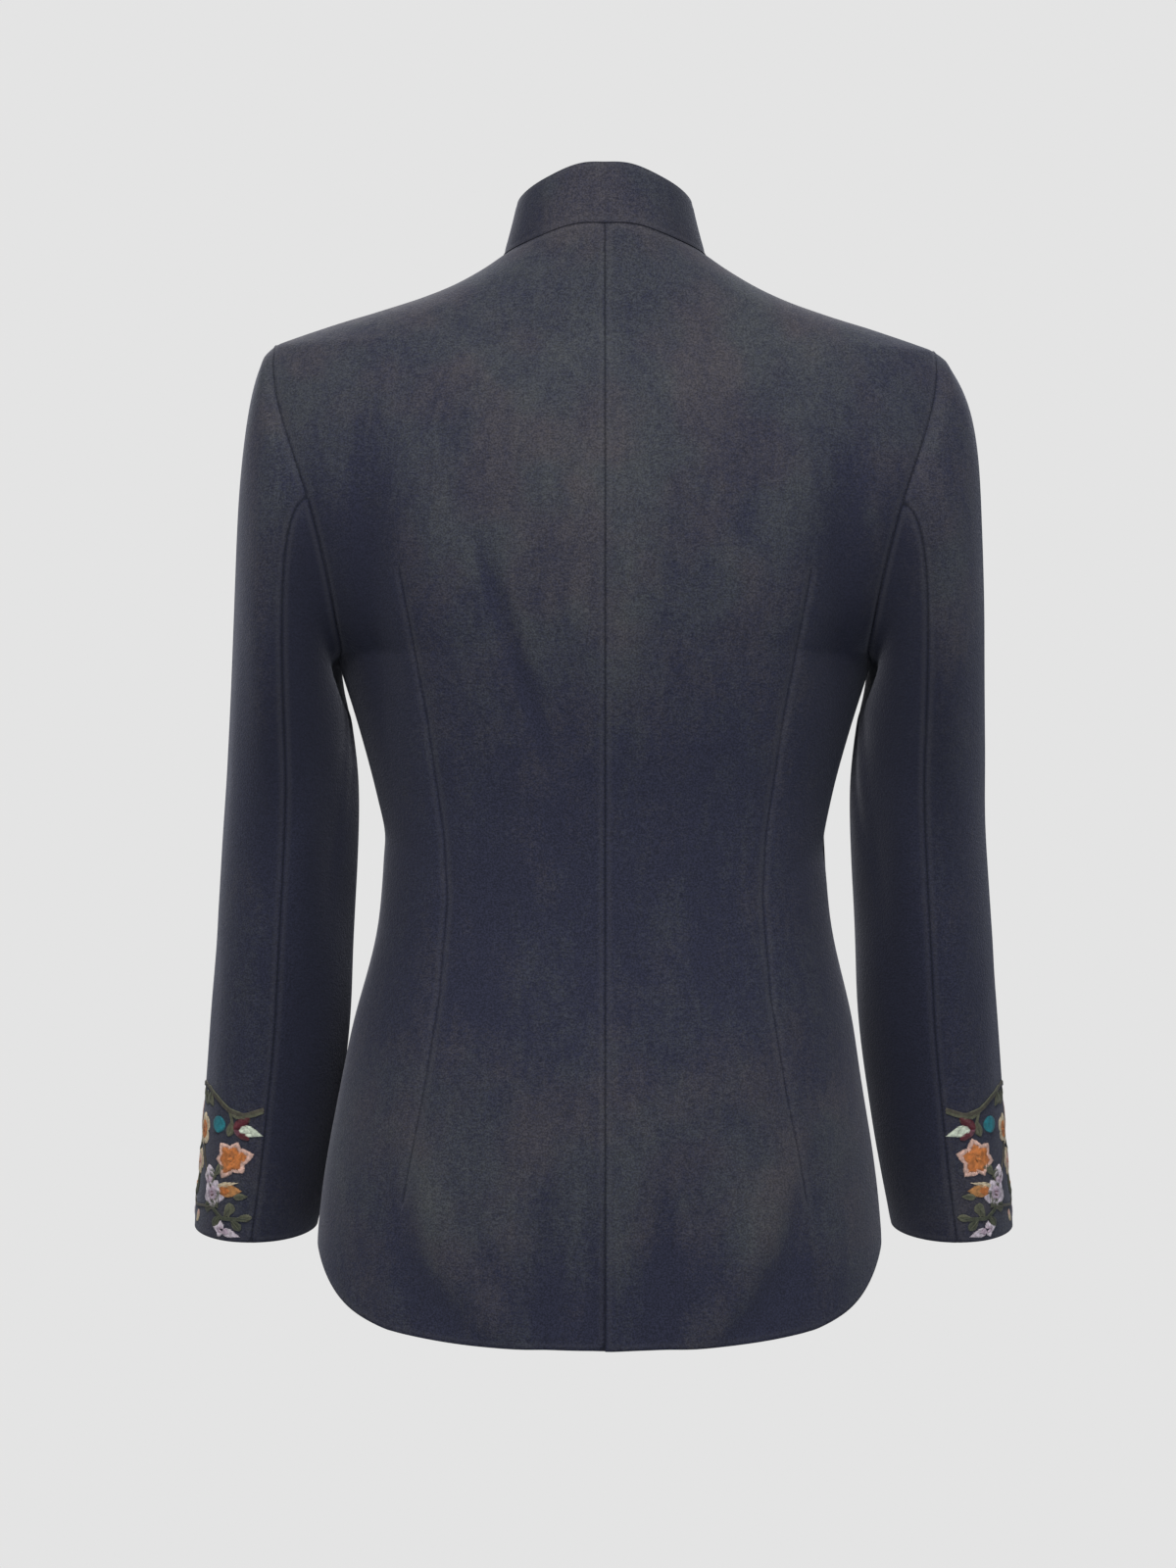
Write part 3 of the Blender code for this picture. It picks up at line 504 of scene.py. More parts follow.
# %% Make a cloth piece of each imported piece
# Points this near to a cut edge grow by a hair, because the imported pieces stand 0.3 mm apart and light
# would come through. Sleeves and the collar keep still beside their seams, so they don't part there.
EDGE_REACH, EDGE_GROWTH, QUIET_EDGE = 0.0007, 0.00035, 0.012
SINK, SINK_WIDTH = 0.0006, 0.0024
LOOSE_AMOUNT, LOOSE_SCALE = 0.0005, 13.0
# A low roll runs along the sleeve's head beside its seam, and a sleeve's folds start below the head.
SHARP_EDGE = math.radians(50)
SLEEVE_FOLDS_TOP = (-0.075, -0.135)
HEAD_PLACE, HEAD_WIDTH, HEAD_RISE = 0.007, 0.005, 0.0011
HEAD_LOW = (-0.150, -0.100)
cloth = {}


def looseness(points):
    """A small unevenness all over, as cloth is never quite taut."""
    return np.array([noise.noise(Vector(p) * LOOSE_SCALE) for p in points]) * LOOSE_AMOUNT


def make_cloth(node, name, kind, side=0, front=False):
    """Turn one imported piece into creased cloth. The kind is trunk, sleeve or collar."""
    piece = merged_copy(node, name)
    smooth_cloth(piece, COLLAR_LEVELS if node == "collar" else SMOOTH_LEVELS)
    if kind == "trunk":
        calm_tip(piece)
    mesh = piece.data
    points = points_of(mesh)
    edge = cut_edges(piece)
    dart = np.full(len(points), DISTANCE_LIMIT)
    if kind == "sleeve":
        away = outwards(points, arm_line(side), ARM_ROUND)
        move = fold_depths(sleeve_flat(points, arm_line(side), side), sleeve_folds(side))
        move *= rise(points[:, 2], SLEEVE_FOLDS_TOP)
        roll = np.exp(-np.square((edge - HEAD_PLACE) / HEAD_WIDTH))
        move += HEAD_RISE * roll * rise(points[:, 2], HEAD_LOW)
    else:
        away = outwards(points, BODY_LINE, BODY_ROUND)
        move = np.zeros(len(points))
        if kind == "trunk":
            move = fold_depths(points[:, [0, 2]], FRONT_FOLDS if front else BACK_FOLDS)
            dart = dart_distance(points, front)
    outer = np.clip(2 * np.einsum("ij,ij->i", normals_of(mesh), away), 0, 1)
    points = points + normals_of(mesh) * np.where(edge < EDGE_REACH, EDGE_GROWTH, 0.0)[:, None]
    quiet = 1.0 if kind == "trunk" else ease(edge / QUIET_EDGE)
    moved = points + away * ((move + looseness(points)) * quiet)[:, None]
    set_points(mesh, moved)
    sink = SINK * (np.exp(-np.square(edge / SINK_WIDTH)) + np.exp(-np.square(dart / SINK_WIDTH)))
    set_points(mesh, moved - normals_of(mesh) * (sink * outer)[:, None])
    keep_number(mesh, "seam", edge)
    keep_number(mesh, "dart", dart)
    keep_number(mesh, "fold", move * 1000)
    # The painted shade between arm and body and at the collar's sides, kept for the material.
    keep_number(mesh, "painted_shade", painted_shade_mask(points, away, kind, side))
    pick(piece)
    bpy.ops.object.shade_smooth_by_angle(angle=SHARP_EDGE)
    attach(piece, "root")
    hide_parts(node)
    cloth[node] = piece
    return piece


for label, side in (("left", 1), ("right", -1)):
    make_cloth(f"back_{label}", f"back_cloth_{label}", "trunk")
    make_cloth(f"front_{label}", f"front_cloth_{label}", "trunk", front=True)
    make_cloth(f"sleeve_upper_{label}", f"upper_sleeve_cloth_{label}", "sleeve", side)
    make_cloth(f"sleeve_under_{label}", f"under_sleeve_cloth_{label}", "sleeve", side)
make_cloth("collar", "collar_cloth", "collar")
print("cloth faces in all:", sum(len(p.data.polygons) for p in cloth.values()))

# %% [markdown]
# ## Suede-like nap
# The cloth is a brushed microfibre. Its short nap lies in soft clouds, bluer where it lies flat and
# greyer where it stands up, with fine upright streaks from brushing and a pebbled grain about a
# millimetre across. A picture of cloth would stretch over the seams, so the nap is built from
# noise that fills space, in one node group that every cloth material shares.

# %% Node helpers


def put(tree, socket, value):
    """Link a socket to an input, or set the input's own value."""
    if isinstance(value, bpy.types.NodeSocket):
        tree.links.new(value, socket)
    else:
        socket.default_value = value


def add_node(tree, kind, inputs=None, **settings):
    """Add a node with its settings, and set or link its inputs."""
    node = tree.nodes.new(kind)
    for key, value in settings.items():
        setattr(node, key, value)
    for key, value in (inputs or {}).items():
        put(tree, node.inputs[key], value)
    return node


def new_group(name, inputs, outputs):
    """Start a shader node group with named sockets and return it with its two end nodes."""
    tree = bpy.data.node_groups.new(name, "ShaderNodeTree")
    for label, kind, value in inputs:
        socket = tree.interface.new_socket(label, in_out="INPUT", socket_type=kind)
        if value is not None:
            socket.default_value = value
    for label, kind in outputs:
        tree.interface.new_socket(label, in_out="OUTPUT", socket_type=kind)
    return tree, tree.nodes.new("NodeGroupInput"), tree.nodes.new("NodeGroupOutput")


FLOAT, COLOUR, VECTOR = "NodeSocketFloat", "NodeSocketColor", "NodeSocketVector"


def mix_colour(tree, factor, a, b, blend="MIX"):
    """Mix two colours and return the result's socket."""
    node = add_node(tree, "ShaderNodeMix", data_type="RGBA", blend_type=blend)
    for key, value in ((0, factor), (6, a), (7, b)):
        put(tree, node.inputs[key], value)
    return node.outputs[2]


def maths(tree, operation, *values):
    """One math node with up to three values, returning its result's socket."""
    node = add_node(tree, "ShaderNodeMath", operation=operation)
    for socket, value in zip(node.inputs, values):
        put(tree, socket, value)
    return node.outputs[0]


def noise_at(tree, place, scale, detail, roughness=0.5, distortion=0.0, stretch=None):
    """Noise of one scale, optionally stretched along the height, returning its value's socket."""
    if stretch is not None:
        mapping = add_node(tree, "ShaderNodeMapping", {"Vector": place, "Scale": (1.0, 1.0, stretch)})
        place = mapping.outputs[0]
    texture = add_node(tree, "ShaderNodeTexNoise", {"Vector": place, "Scale": scale, "Detail": detail,
                                                    "Roughness": roughness, "Distortion": distortion})
    return texture.outputs[0]


def same_grey(tree, value):
    """A grey of one value, to multiply a colour by."""
    return add_node(tree, "ShaderNodeCombineColor", {0: value, 1: value, 2: value}).outputs[0]


def spread(tree, value, low, high, to_low=0.0, to_high=1.0):
    """Map a range of a value smoothly onto another range."""
    node = add_node(tree, "ShaderNodeMapRange", {"Value": value, "From Min": low, "From Max": high,
                                                 "To Min": to_low, "To Max": to_high},
                    interpolation_type="SMOOTHSTEP")
    return node.outputs[0]


# %% The nap group
def nap_group():
    """Clouds, streaks and grain of a brushed cloth."""
    tree, start, end = new_group(
        "suede nap",
        [("Vector", VECTOR, None), ("Flat Nap", COLOUR, (0.03, 0.033, 0.05, 1)),
         ("Raised Nap", COLOUR, (0.06, 0.058, 0.06, 1)), ("Shadow Nap", COLOUR, (0.012, 0.014, 0.026, 1)),
         ("Raised Amount", FLOAT, 0.5)],
        [("Color", COLOUR), ("Roughness", FLOAT), ("Height", FLOAT)])
    place = start.outputs["Vector"]
    clouds = noise_at(tree, place, 9.0, 3.0, 0.55, 0.4)
    patches = noise_at(tree, place, 62.0, 5.0, 0.66, 0.9, stretch=0.42)
    streaks = noise_at(tree, place, 250.0, 3.0, 0.6, stretch=0.16)
    crinkle = noise_at(tree, place, 330.0, 3.0, 0.6, 1.2, stretch=2.1)
    fibres = noise_at(tree, place, 1000.0, 2.0)
    tints = noise_at(tree, place, 21.0, 2.0)
    pebbles = add_node(tree, "ShaderNodeTexVoronoi", {"Vector": place, "Scale": 720.0, "Randomness": 1.0},
                       feature="SMOOTH_F1").outputs[0]
    raised = start.outputs["Raised Amount"]
    for texture, low, high, amount in ((clouds, 0.28, 0.72, 0.17), (patches, 0.28, 0.72, 0.13),
                                       (streaks, 0.3, 0.7, 0.07), (crinkle, 0.32, 0.68, 0.20)):
        raised = maths(tree, "ADD", raised, spread(tree, texture, low, high, -amount, amount))
    mask = maths(tree, "MINIMUM", maths(tree, "MAXIMUM", raised, 0.0), 1.0)
    tint = mix_colour(tree, spread(tree, tints, 0.40, 0.62), (0.92, 1.02, 1.01, 1), (1.05, 0.98, 0.98, 1))
    lifted = mix_colour(tree, 1.0, start.outputs["Raised Nap"], tint, "MULTIPLY")
    colour = mix_colour(tree, mask, start.outputs["Flat Nap"], lifted)
    bruise = spread(tree, patches, 0.56, 0.76, 0.0, 0.25)
    colour = mix_colour(tree, maths(tree, "MULTIPLY", bruise, maths(tree, "SUBTRACT", 1.0, mask)),
                        colour, start.outputs["Shadow Nap"])
    speckle = spread(tree, fibres, 0.32, 0.68, 0.68, 1.34)
    colour = mix_colour(tree, 1.0, colour, same_grey(tree, speckle), "MULTIPLY")
    tree.links.new(colour, end.inputs["Color"])
    tree.links.new(spread(tree, mask, 0.0, 1.0, 0.94, 0.80), end.inputs["Roughness"])
    height = maths(tree, "ADD", maths(tree, "MULTIPLY", pebbles, 0.5), maths(tree, "MULTIPLY", fibres, 0.3))
    height = maths(tree, "ADD", height, maths(tree, "MULTIPLY", crinkle, 0.9))
    tree.links.new(height, end.inputs["Height"])
    return tree


nap = nap_group()
print("suede nap:", len(nap.nodes), "nodes")

# %% [markdown]
# ## Seam lines
# A plain seam shows as a hair-fine dark line, with the turned cloth beside it catching a little
# light. The distances kept on each mesh say how far a point is from the sewing, so one group can
# draw the line, the lit edge and a soft dip for seams and darts alike.

# %% The seam group


def seam_group():
    """Masks for the line and the lit edges beside it, and a height that dips at the line."""
    tree, start, end = new_group(
        "seam line",
        [("Distance", FLOAT, 1.0), ("Line Width", FLOAT, 0.0006), ("Edge Width", FLOAT, 0.0022)],
        [("Line", FLOAT), ("Edge", FLOAT), ("Height", FLOAT)])
    away = maths(tree, "ABSOLUTE", start.outputs["Distance"])
    line = maths(tree, "DIVIDE", away, start.outputs["Line Width"])
    edge = maths(tree, "DIVIDE", away, start.outputs["Edge Width"])
    line_mask = spread(tree, line, 0.4, 1.3, 1.0, 0.0)
    lit = maths(tree, "MULTIPLY", spread(tree, edge, 0.35, 0.7), spread(tree, edge, 1.0, 2.2, 1.0, 0.0))
    tree.links.new(line_mask, end.inputs["Line"])
    tree.links.new(lit, end.inputs["Edge"])
    tree.links.new(spread(tree, edge, 0.0, 1.0), end.inputs["Height"])
    return tree


seams = seam_group()
print("seam line:", len(seams.nodes), "nodes")

# %% [markdown]
# ## The cloth materials
# The trunk, the collar and the sleeves are cut from one cloth. They differ only in how much of the
# paler raised nap shows all over: a little more on the trunk, and less on the under sleeves, which is
# painted shade.

# %% Painted light and shade in the nap, and how seams and grain show
# Heights and widths are in metres, as (where it starts, where it is full).
# Painted light: the shoulders and the hips face up into the light and show more of the paler raised nap,
# the waist and the hem less. Fold ridges get painted light and fold troughs painted shade.
SHOULDERS, MIDDLE_TO_SIDE, SHOULDER_AMOUNTS = (-0.33, -0.09), (0.09, 0.17), (0.46, 0.30)
HIPS_ABOVE, HIPS_BELOW, HIPS_AMOUNT = (-0.44, -0.53), (-0.615, -0.57), 0.36
FOLD_RANGE, FOLD_LIGHT_AND_SHADE = (-2.2, 2.2), (-0.30, 0.28)
# How much the painted shade lowers the raised nap, and how far it darkens the colour.
PAINTED_SHADE_NAP_LOSS, PAINTED_SHADE_DEPTH = 0.15, 0.55
# Columns: attribute that holds the distance, line width, line strength.
LINES = (("seam", 0.0004, 0.55), ("dart", 0.0005, 0.42))
LINE_COLOUR = (0.004, 0.005, 0.009, 1)
LIT_SHARE, LIT_GAIN = 0.12, 1.5
DIP_STRENGTH, DIP_DEPTH = 0.5, 0.0006
GRAIN_STRENGTH, GRAIN_DEPTH = 0.55, 0.0008


def new_material(name):
    """An empty material: itself, its nodes, its shader and the place in object space."""
    material = bpy.data.materials.new(name)
    material.use_nodes = True
    tree = material.node_tree
    place = tree.nodes.new("ShaderNodeTexCoord").outputs["Object"]
    return material, tree, tree.nodes["Principled BSDF"], place


def nap_with_painted_light(tree, place, fold, painted_shade, amount):
    """How much of the paler raised nap shows: painted light on the shoulders, hips and fold ridges, and
    painted shade in fold troughs and between arm and body.
    """
    split = add_node(tree, "ShaderNodeSeparateXYZ", {0: place})
    high = split.outputs["Z"]
    across = spread(tree, maths(tree, "ABSOLUTE", split.outputs["X"]), *MIDDLE_TO_SIDE, *SHOULDER_AMOUNTS)
    painted_tone = maths(tree, "MULTIPLY", spread(tree, high, *SHOULDERS), across)
    hips = maths(tree, "MULTIPLY", spread(tree, high, *HIPS_ABOVE), spread(tree, high, *HIPS_BELOW))
    painted_tone = maths(tree, "ADD", painted_tone, maths(tree, "MULTIPLY", hips, HIPS_AMOUNT))
    painted_tone = maths(tree, "SUBTRACT", painted_tone, maths(tree, "MULTIPLY", painted_shade, PAINTED_SHADE_NAP_LOSS))
    painted_tone = maths(tree, "ADD", painted_tone, spread(tree, fold, *FOLD_RANGE, *FOLD_LIGHT_AND_SHADE))
    return maths(tree, "ADD", painted_tone, amount)


# %% One material for each use of the cloth
FLAT_NAP = (0.0218, 0.0245, 0.0465, 1)
RAISED_NAP = (0.0600, 0.0605, 0.0680, 1)
SHADOW_NAP = (0.0078, 0.0092, 0.0190, 1)


def cloth_material(name, amount):
    """Brushed cloth with seam lines, with a given amount of its nap standing up everywhere."""
    material, tree, shader, place = new_material(name)
    kept = {key: add_node(tree, "ShaderNodeAttribute", attribute_name=key).outputs["Fac"]
            for key in ("seam", "dart", "fold", "painted_shade")}
    cloth_nap = add_node(tree, "ShaderNodeGroup", node_tree=nap)
    # The raised amount carries the painted light and shade of the shoulders, hips, folds and armpits.
    for key, value in (("Flat Nap", FLAT_NAP), ("Raised Nap", RAISED_NAP), ("Shadow Nap", SHADOW_NAP),
                       ("Vector", place),
                       ("Raised Amount", nap_with_painted_light(tree, place, kept["fold"], kept["painted_shade"], amount))):
        put(tree, cloth_nap.inputs[key], value)
    # Painted shade: darker towards the shadow colour between the arm and the body, on the inner sleeves and
    # at the collar's sides.
    colour = mix_colour(tree, maths(tree, "MULTIPLY", kept["painted_shade"], PAINTED_SHADE_DEPTH),
                        cloth_nap.outputs["Color"], SHADOW_NAP)
    lit_colour = (*(c * LIT_GAIN for c in RAISED_NAP[:3]), 1)
    heights = []
    for key, width, strength in LINES:
        lines = add_node(tree, "ShaderNodeGroup", node_tree=seams)
        put(tree, lines.inputs["Distance"], kept[key])
        put(tree, lines.inputs["Line Width"], width)
        for mask, most, paint in (("Edge", LIT_SHARE, lit_colour), ("Line", strength, LINE_COLOUR)):
            share = maths(tree, "MULTIPLY", lines.outputs[mask], most)
            colour = mix_colour(tree, share, colour, paint)
        heights.append(lines.outputs["Height"])
    dip = add_node(tree, "ShaderNodeBump", {"Height": maths(tree, "MULTIPLY", *heights),
                                            "Strength": DIP_STRENGTH, "Distance": DIP_DEPTH})
    grain = add_node(tree, "ShaderNodeBump", {"Height": cloth_nap.outputs["Height"],
                                              "Strength": GRAIN_STRENGTH, "Distance": GRAIN_DEPTH,
                                              "Normal": dip.outputs[0]})
    for key, value in (("Base Color", colour), ("Roughness", cloth_nap.outputs["Roughness"]),
                       ("Normal", grain.outputs[0]), ("Specular IOR Level", 0.20), ("Sheen Weight", 0.20),
                       ("Sheen Roughness", 0.45), ("Sheen Tint", (0.70, 0.74, 0.90, 1))):
        put(tree, shader.inputs[key], value)
    return material


trunk_cloth = cloth_material("trunk cloth", 0.09)
sleeve_cloth = cloth_material("sleeve cloth", 0.0)
# Painted shade: the under sleeves get less of the paler raised nap, so they come out darker.
shaded_under_sleeve_cloth = cloth_material("under sleeve cloth with painted shade", -0.10)
collar_cloth = cloth_material("collar cloth", 0.0)

# %% Give each piece its cloth
# Columns: finish and material slot of each kind of piece, by how its name starts.
FINISHES = {
    "back": (trunk_cloth, "back_cloth"),
    "front": (trunk_cloth, "front_cloth"),
    "sleeve_upper": (sleeve_cloth, "sleeve_cloth"),
    "sleeve_under": (shaded_under_sleeve_cloth, "sleeve_cloth"),
    "collar": (collar_cloth, "collar_cloth"),
}
for node, piece in cloth.items():
    finish, slot = next(v for k, v in FINISHES.items() if node.startswith(k))
    piece.data.materials.append(finish)
    print(f"{piece.name}: {finish.name}")

# %% [markdown]
# ## Thread
# The cuffs are embroidered in satin stitch: many short lengths of glossy thread laid side by side,
# each a little arched where it passes over the one below. A painted pattern would look printed, so
# every stitch is real geometry. One short length is modelled once and copied along each stitch.

# %% Model one short length of thread
THREAD_SIDES = 4
THREAD_CUTS = (-0.36, 0.0, 0.36)
THREAD_RADIUS = 0.00029


def thread_length():
    """A thin cylinder of length 1 with rings along it, as points and faces."""
    bpy.ops.object.select_all(action="DESELECT")
    bpy.ops.mesh.primitive_cylinder_add(vertices=THREAD_SIDES, radius=1.0, depth=1.0)
    piece = bpy.context.active_object
    bpy.ops.object.mode_set(mode="EDIT")
    for height in THREAD_CUTS:
        bpy.ops.mesh.select_all(action="SELECT")
        bpy.ops.mesh.bisect(plane_co=(0, 0, height), plane_no=(0, 0, 1))
    bpy.ops.object.mode_set(mode="OBJECT")
    points, faces = points_of(piece.data), [tuple(f.vertices) for f in piece.data.polygons]
    bpy.data.objects.remove(piece)
    return points, faces


thread_points, thread_faces = thread_length()
print("one length of thread:", len(thread_points), "points,", len(thread_faces), "faces")

# %% [markdown]
# Stitches are planned flat, in millimetres round the arm and up it, and then laid on the sleeve: a ray
# sent towards the arm finds the cloth and its direction at each place. So the embroidery lies on the
# cloth from every side, folds included.

# %% Lay stitches on a surface
STITCH_SAMPLES = 7
STITCH_LIFT = 0.00015
STITCH_ENDS = 0.35
RAY_START = 0.08
ROUND_ARM = 0.0425


def surface_of(pieces):
    """One search tree over several pieces of cloth."""
    points, faces = [], []
    for piece in pieces:
        base = len(points)
        points.extend(v.co.copy() for v in piece.data.vertices)
        faces.extend([base + k for k in f.vertices] for f in piece.data.polygons)
    return BVHTree.FromPolygons(points, faces)


def sleeve_place(tree, side, turn, height):
    """Point and normal of a sleeve at a turn in degrees from its outer side and a height."""
    line = np.array(arm_line(side))
    order = np.argsort(line[:, 2])
    centre = [np.interp(height, line[order, 2], line[order, k]) for k in (0, 1)]
    out = Vector((math.cos(math.radians(turn)) * side, math.sin(math.radians(turn)), 0.0))
    start = Vector((*centre, height)) + out * RAY_START
    place, normal, _, _ = tree.ray_cast(start, -out)
    if place is None:
        place, normal, _, _ = tree.find_nearest(start - out * (RAY_START - ROUND_ARM))
    return place, normal if normal.dot(out) > 0 else -normal


def lay_stitch(path, normals, radius, arch):
    """Bend one length of thread along a path, standing off the surface by its arch."""
    path = np.array(path)
    normals = np.array(normals)
    share = np.clip(thread_points[:, 2] + 0.5, 0, 1)
    steps = np.linspace(0, 1, len(path))
    centre = np.column_stack([np.interp(share, steps, path[:, k]) for k in range(3)])
    up = np.column_stack([np.interp(share, steps, normals[:, k]) for k in range(3)])
    up /= np.linalg.norm(up, axis=1)[:, None]
    along = (path[-1] - path[0]) / max(np.linalg.norm(path[-1] - path[0]), 1e-9)
    across = np.cross(up, along)
    across /= np.linalg.norm(across, axis=1)[:, None]
    swell = np.sqrt(np.clip(np.sin(math.pi * share), 0, 1))
    thick = radius * (STITCH_ENDS + (1 - STITCH_ENDS) * swell)
    return (centre + up * (STITCH_LIFT + arch * swell + thread_points[:, 0] * thick)[:, None]
            + across * (thread_points[:, 1] * thick)[:, None])


def sew(name, laid, finishes):
    """Join laid stitches into one piece. Each is (points, finish number)."""
    mesh = bpy.data.meshes.new(name)
    count = len(thread_points)
    points = np.concatenate([p for p, _ in laid])
    faces = [[k + number * count for k in face] for number in range(len(laid)) for face in thread_faces]
    mesh.from_pydata(points.tolist(), [], faces)
    marks = np.repeat([finish for _, finish in laid], len(thread_faces))
    for finish in finishes:
        mesh.materials.append(finish)
    mesh.polygons.foreach_set("material_index", marks.astype(np.int32))
    mesh.shade_smooth()
    mesh.update()
    piece = bpy.data.objects.new(name, mesh)
    bpy.context.scene.collection.objects.link(piece)
    pick(piece)
    bpy.ops.object.mode_set(mode="EDIT")
    bpy.ops.mesh.select_all(action="SELECT")
    bpy.ops.mesh.normals_make_consistent(inside=False)
    bpy.ops.object.mode_set(mode="OBJECT")
    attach(piece, "root")
    print(f"{name}: {len(laid)} stitches, {len(mesh.polygons)} faces")
    return piece


# %% [markdown]
# ## Shapes filled with stitches
# A petal has threads that fan out from its base, with a second row in a paler colour along its tip. A
# leaf has threads slanting from a middle rib to both edges. A bud is filled straight across, and a
# stem is a row of short stitches that overlap like a rope. All are lists of (start, end, colour,
# arch), planned in millimetres.

# %% Plan petals, leaves, buds and stems
# Spacing and steps are in millimetres of the plan, arches in metres.
STITCH_SPACING = 0.46
PETAL_ARCH, PETAL_TIP_ARCH, KNOT_ARCH = 0.00042, 0.00032, 0.0008
LEAF_ARCH, RIB_ARCH, BUD_ARCH, STEM_ARCH = 0.00030, 0.00065, 0.00055, 0.00034
PETAL_OVERLAP, PETAL_FULLNESS, PETAL_BASE = 0.9, 4.6, 0.30
PETAL_ROUND, PETAL_POINT = 0.62, 0.62
HEART_KNOTS, HEART_TURN = 7, 0.9
LEAF_SLANT, LEAF_TIP, RIB_SHARE = 0.75, 0.12, 0.88
TIP_SHARE = 0.25
STEM_ROW, STEM_STEP, STEM_STITCH, STEM_SLANT = 0.42, 1.1, 2.3, 0.16
random_hand = np.random.default_rng(11)


def wobble(amount):
    """A small uneven amount either way, as by hand."""
    return float(random_hand.uniform(-amount, amount))


def axes(direction):
    """Unit steps along a direction in degrees and across it."""
    along = np.array((math.cos(math.radians(direction)), math.sin(math.radians(direction))))
    return along, np.array((-along[1], along[0]))


def petal(centre, direction, length, width, inner, outer, share=0.60, point=0.0):
    """Threads fanned from a flower's centre, in a second colour beyond a share of the length."""
    axis, side = axes(direction)
    count = max(3, round(width / STITCH_SPACING))
    plan = []
    for k in range(count):
        w = (k / (count - 1) - 0.5) * width * 0.94
        across = abs(2 * w / width)
        rounded = PETAL_ROUND + (1 - PETAL_ROUND) * math.sqrt(max(0.0, 1 - across ** 2))
        reach = length * (rounded * (1 - point) + (1 - PETAL_POINT * across) * point) + wobble(0.3)
        base = centre + axis * 0.10 * length + side * w * PETAL_BASE
        middle = centre + axis * (share * reach + wobble(0.5)) + side * w * 0.86
        tip = centre + axis * reach + side * w
        plan.append((base, middle, inner, PETAL_ARCH))
        plan.append((middle - axis * PETAL_OVERLAP, tip, outer, PETAL_TIP_ARCH))
    return plan


def flower(centre, size, petals, turn, inner, outer, heart, share=0.60, point=0.0):
    """Petals round a heart of short knots."""
    plan = []
    for k in range(petals):
        direction = turn + 360 * k / petals + wobble(7)
        length = size * (1 + wobble(0.10 + 0.08 * point))
        width = length * PETAL_FULLNESS / petals
        plan += petal(centre, direction, length, width, inner, outer, share, point)
    plan += bud(centre, 20, 0.30 * size, 0.26 * size, inner)
    for k in range(HEART_KNOTS):
        away = axes(math.degrees(k * HEART_TURN))[0] * (0.10 + 0.05 * (k % 2)) * size
        knot = np.array((wobble(0.4) + 0.7, wobble(0.5)))
        plan.append((centre + away - knot * 0.5, centre + away + knot * 0.5, heart, KNOT_ARCH))
    return plan


def leaf(start, direction, length, width, colour, rib):
    """Threads slanting from a middle rib to both edges of a pointed leaf."""
    axis, side = axes(direction)
    count = max(5, round(length / STITCH_SPACING))
    plan = []
    for k in range(count):
        share = (k + 0.5) / count
        half = width / 2 * math.sin(math.pi * share ** 0.85) + LEAF_TIP
        on_rib = start + axis * length * share * 0.93
        for way in (-1, 1):
            reach = min(length * share + half * LEAF_SLANT, length)
            edge = start + axis * reach + side * way * (half + wobble(0.15))
            plan.append((on_rib, edge, colour, LEAF_ARCH))
    plan.append((start, start + axis * length * RIB_SHARE, rib, RIB_ARCH))
    return plan


def bud(centre, direction, length, width, colour, tip=None):
    """An oval filled straight across, with an optional second colour at its tip."""
    axis, side = axes(direction)
    count = max(5, round(length / STITCH_SPACING))
    plan = []
    for k in range(count):
        share = (k + 0.5) / count * 2 - 1
        half = width / 2 * math.sqrt(max(0.05, 1 - share * share)) + wobble(0.12)
        place = centre + axis * share * length / 2
        dye = tip if tip is not None and share > TIP_SHARE else colour
        plan.append((place - side * half, place + side * half, dye, BUD_ARCH))
    return plan


def stem(places, colour, rows):
    """Short slanting stitches that overlap along a bent line."""
    places = np.array(places)
    steps = np.concatenate(([0], np.cumsum(np.linalg.norm(np.diff(places, axis=0), axis=1))))
    plan = []
    for row in range(rows):
        shift = (row - (rows - 1) / 2) * STEM_ROW
        for at in np.arange(0.0, steps[-1] - 1.2, STEM_STEP):
            a = np.array([np.interp(at, steps, places[:, k]) for k in (0, 1)])
            b = np.array([np.interp(at + STEM_STITCH, steps, places[:, k]) for k in (0, 1)])
            away = b - a
            side = np.array((-away[1], away[0])) / max(np.linalg.norm(away), 1e-6)
            a, b = a + side * (shift - STEM_SLANT), b + side * (shift + STEM_SLANT)
            plan.append((a, b, colour, STEM_ARCH))
    return plan


# %% [markdown]
# ## The embroidered cuffs
# A branch comes in from the front of the sleeve near its top edge and carries a teal bud and a maroon
# one. Below it hang an orange blossom, an opening bud, lilac blossoms and dark olive leaves. The
# sprays go round the outer half of the cuff and leave the under sleeve plain.
# Places are degrees round the arm from its outer side towards the back, and millimetres above the
# cuff's edge.

# %% Thread colours and the plan of one cuff
THREADS = {
    "twig": (0.085, 0.078, 0.058), "olive": (0.112, 0.118, 0.076), "deep_olive": (0.066, 0.076, 0.050),
    "teal": (0.018, 0.240, 0.300), "maroon": (0.105, 0.008, 0.020), "mint": (0.70, 0.78, 0.66),
    "orange": (0.58, 0.200, 0.050), "amber": (0.52, 0.255, 0.090), "rust": (0.29, 0.085, 0.028),
    "blush": (0.72, 0.49, 0.42), "cream": (0.66, 0.56, 0.40), "lilac": (0.47, 0.38, 0.47),
    "pale_lilac": (0.64, 0.58, 0.66), "wine": (0.16, 0.045, 0.075),
}
COLOURS = {name: number for number, name in enumerate(THREADS)}
SPRAY_TURN = 6.0


def flat_place(turn, above):
    """A place on the flat plan: millimetres round the arm and up from the cuff's edge."""
    return np.array((math.radians(turn + SPRAY_TURN) * ROUND_ARM * 1000, above))


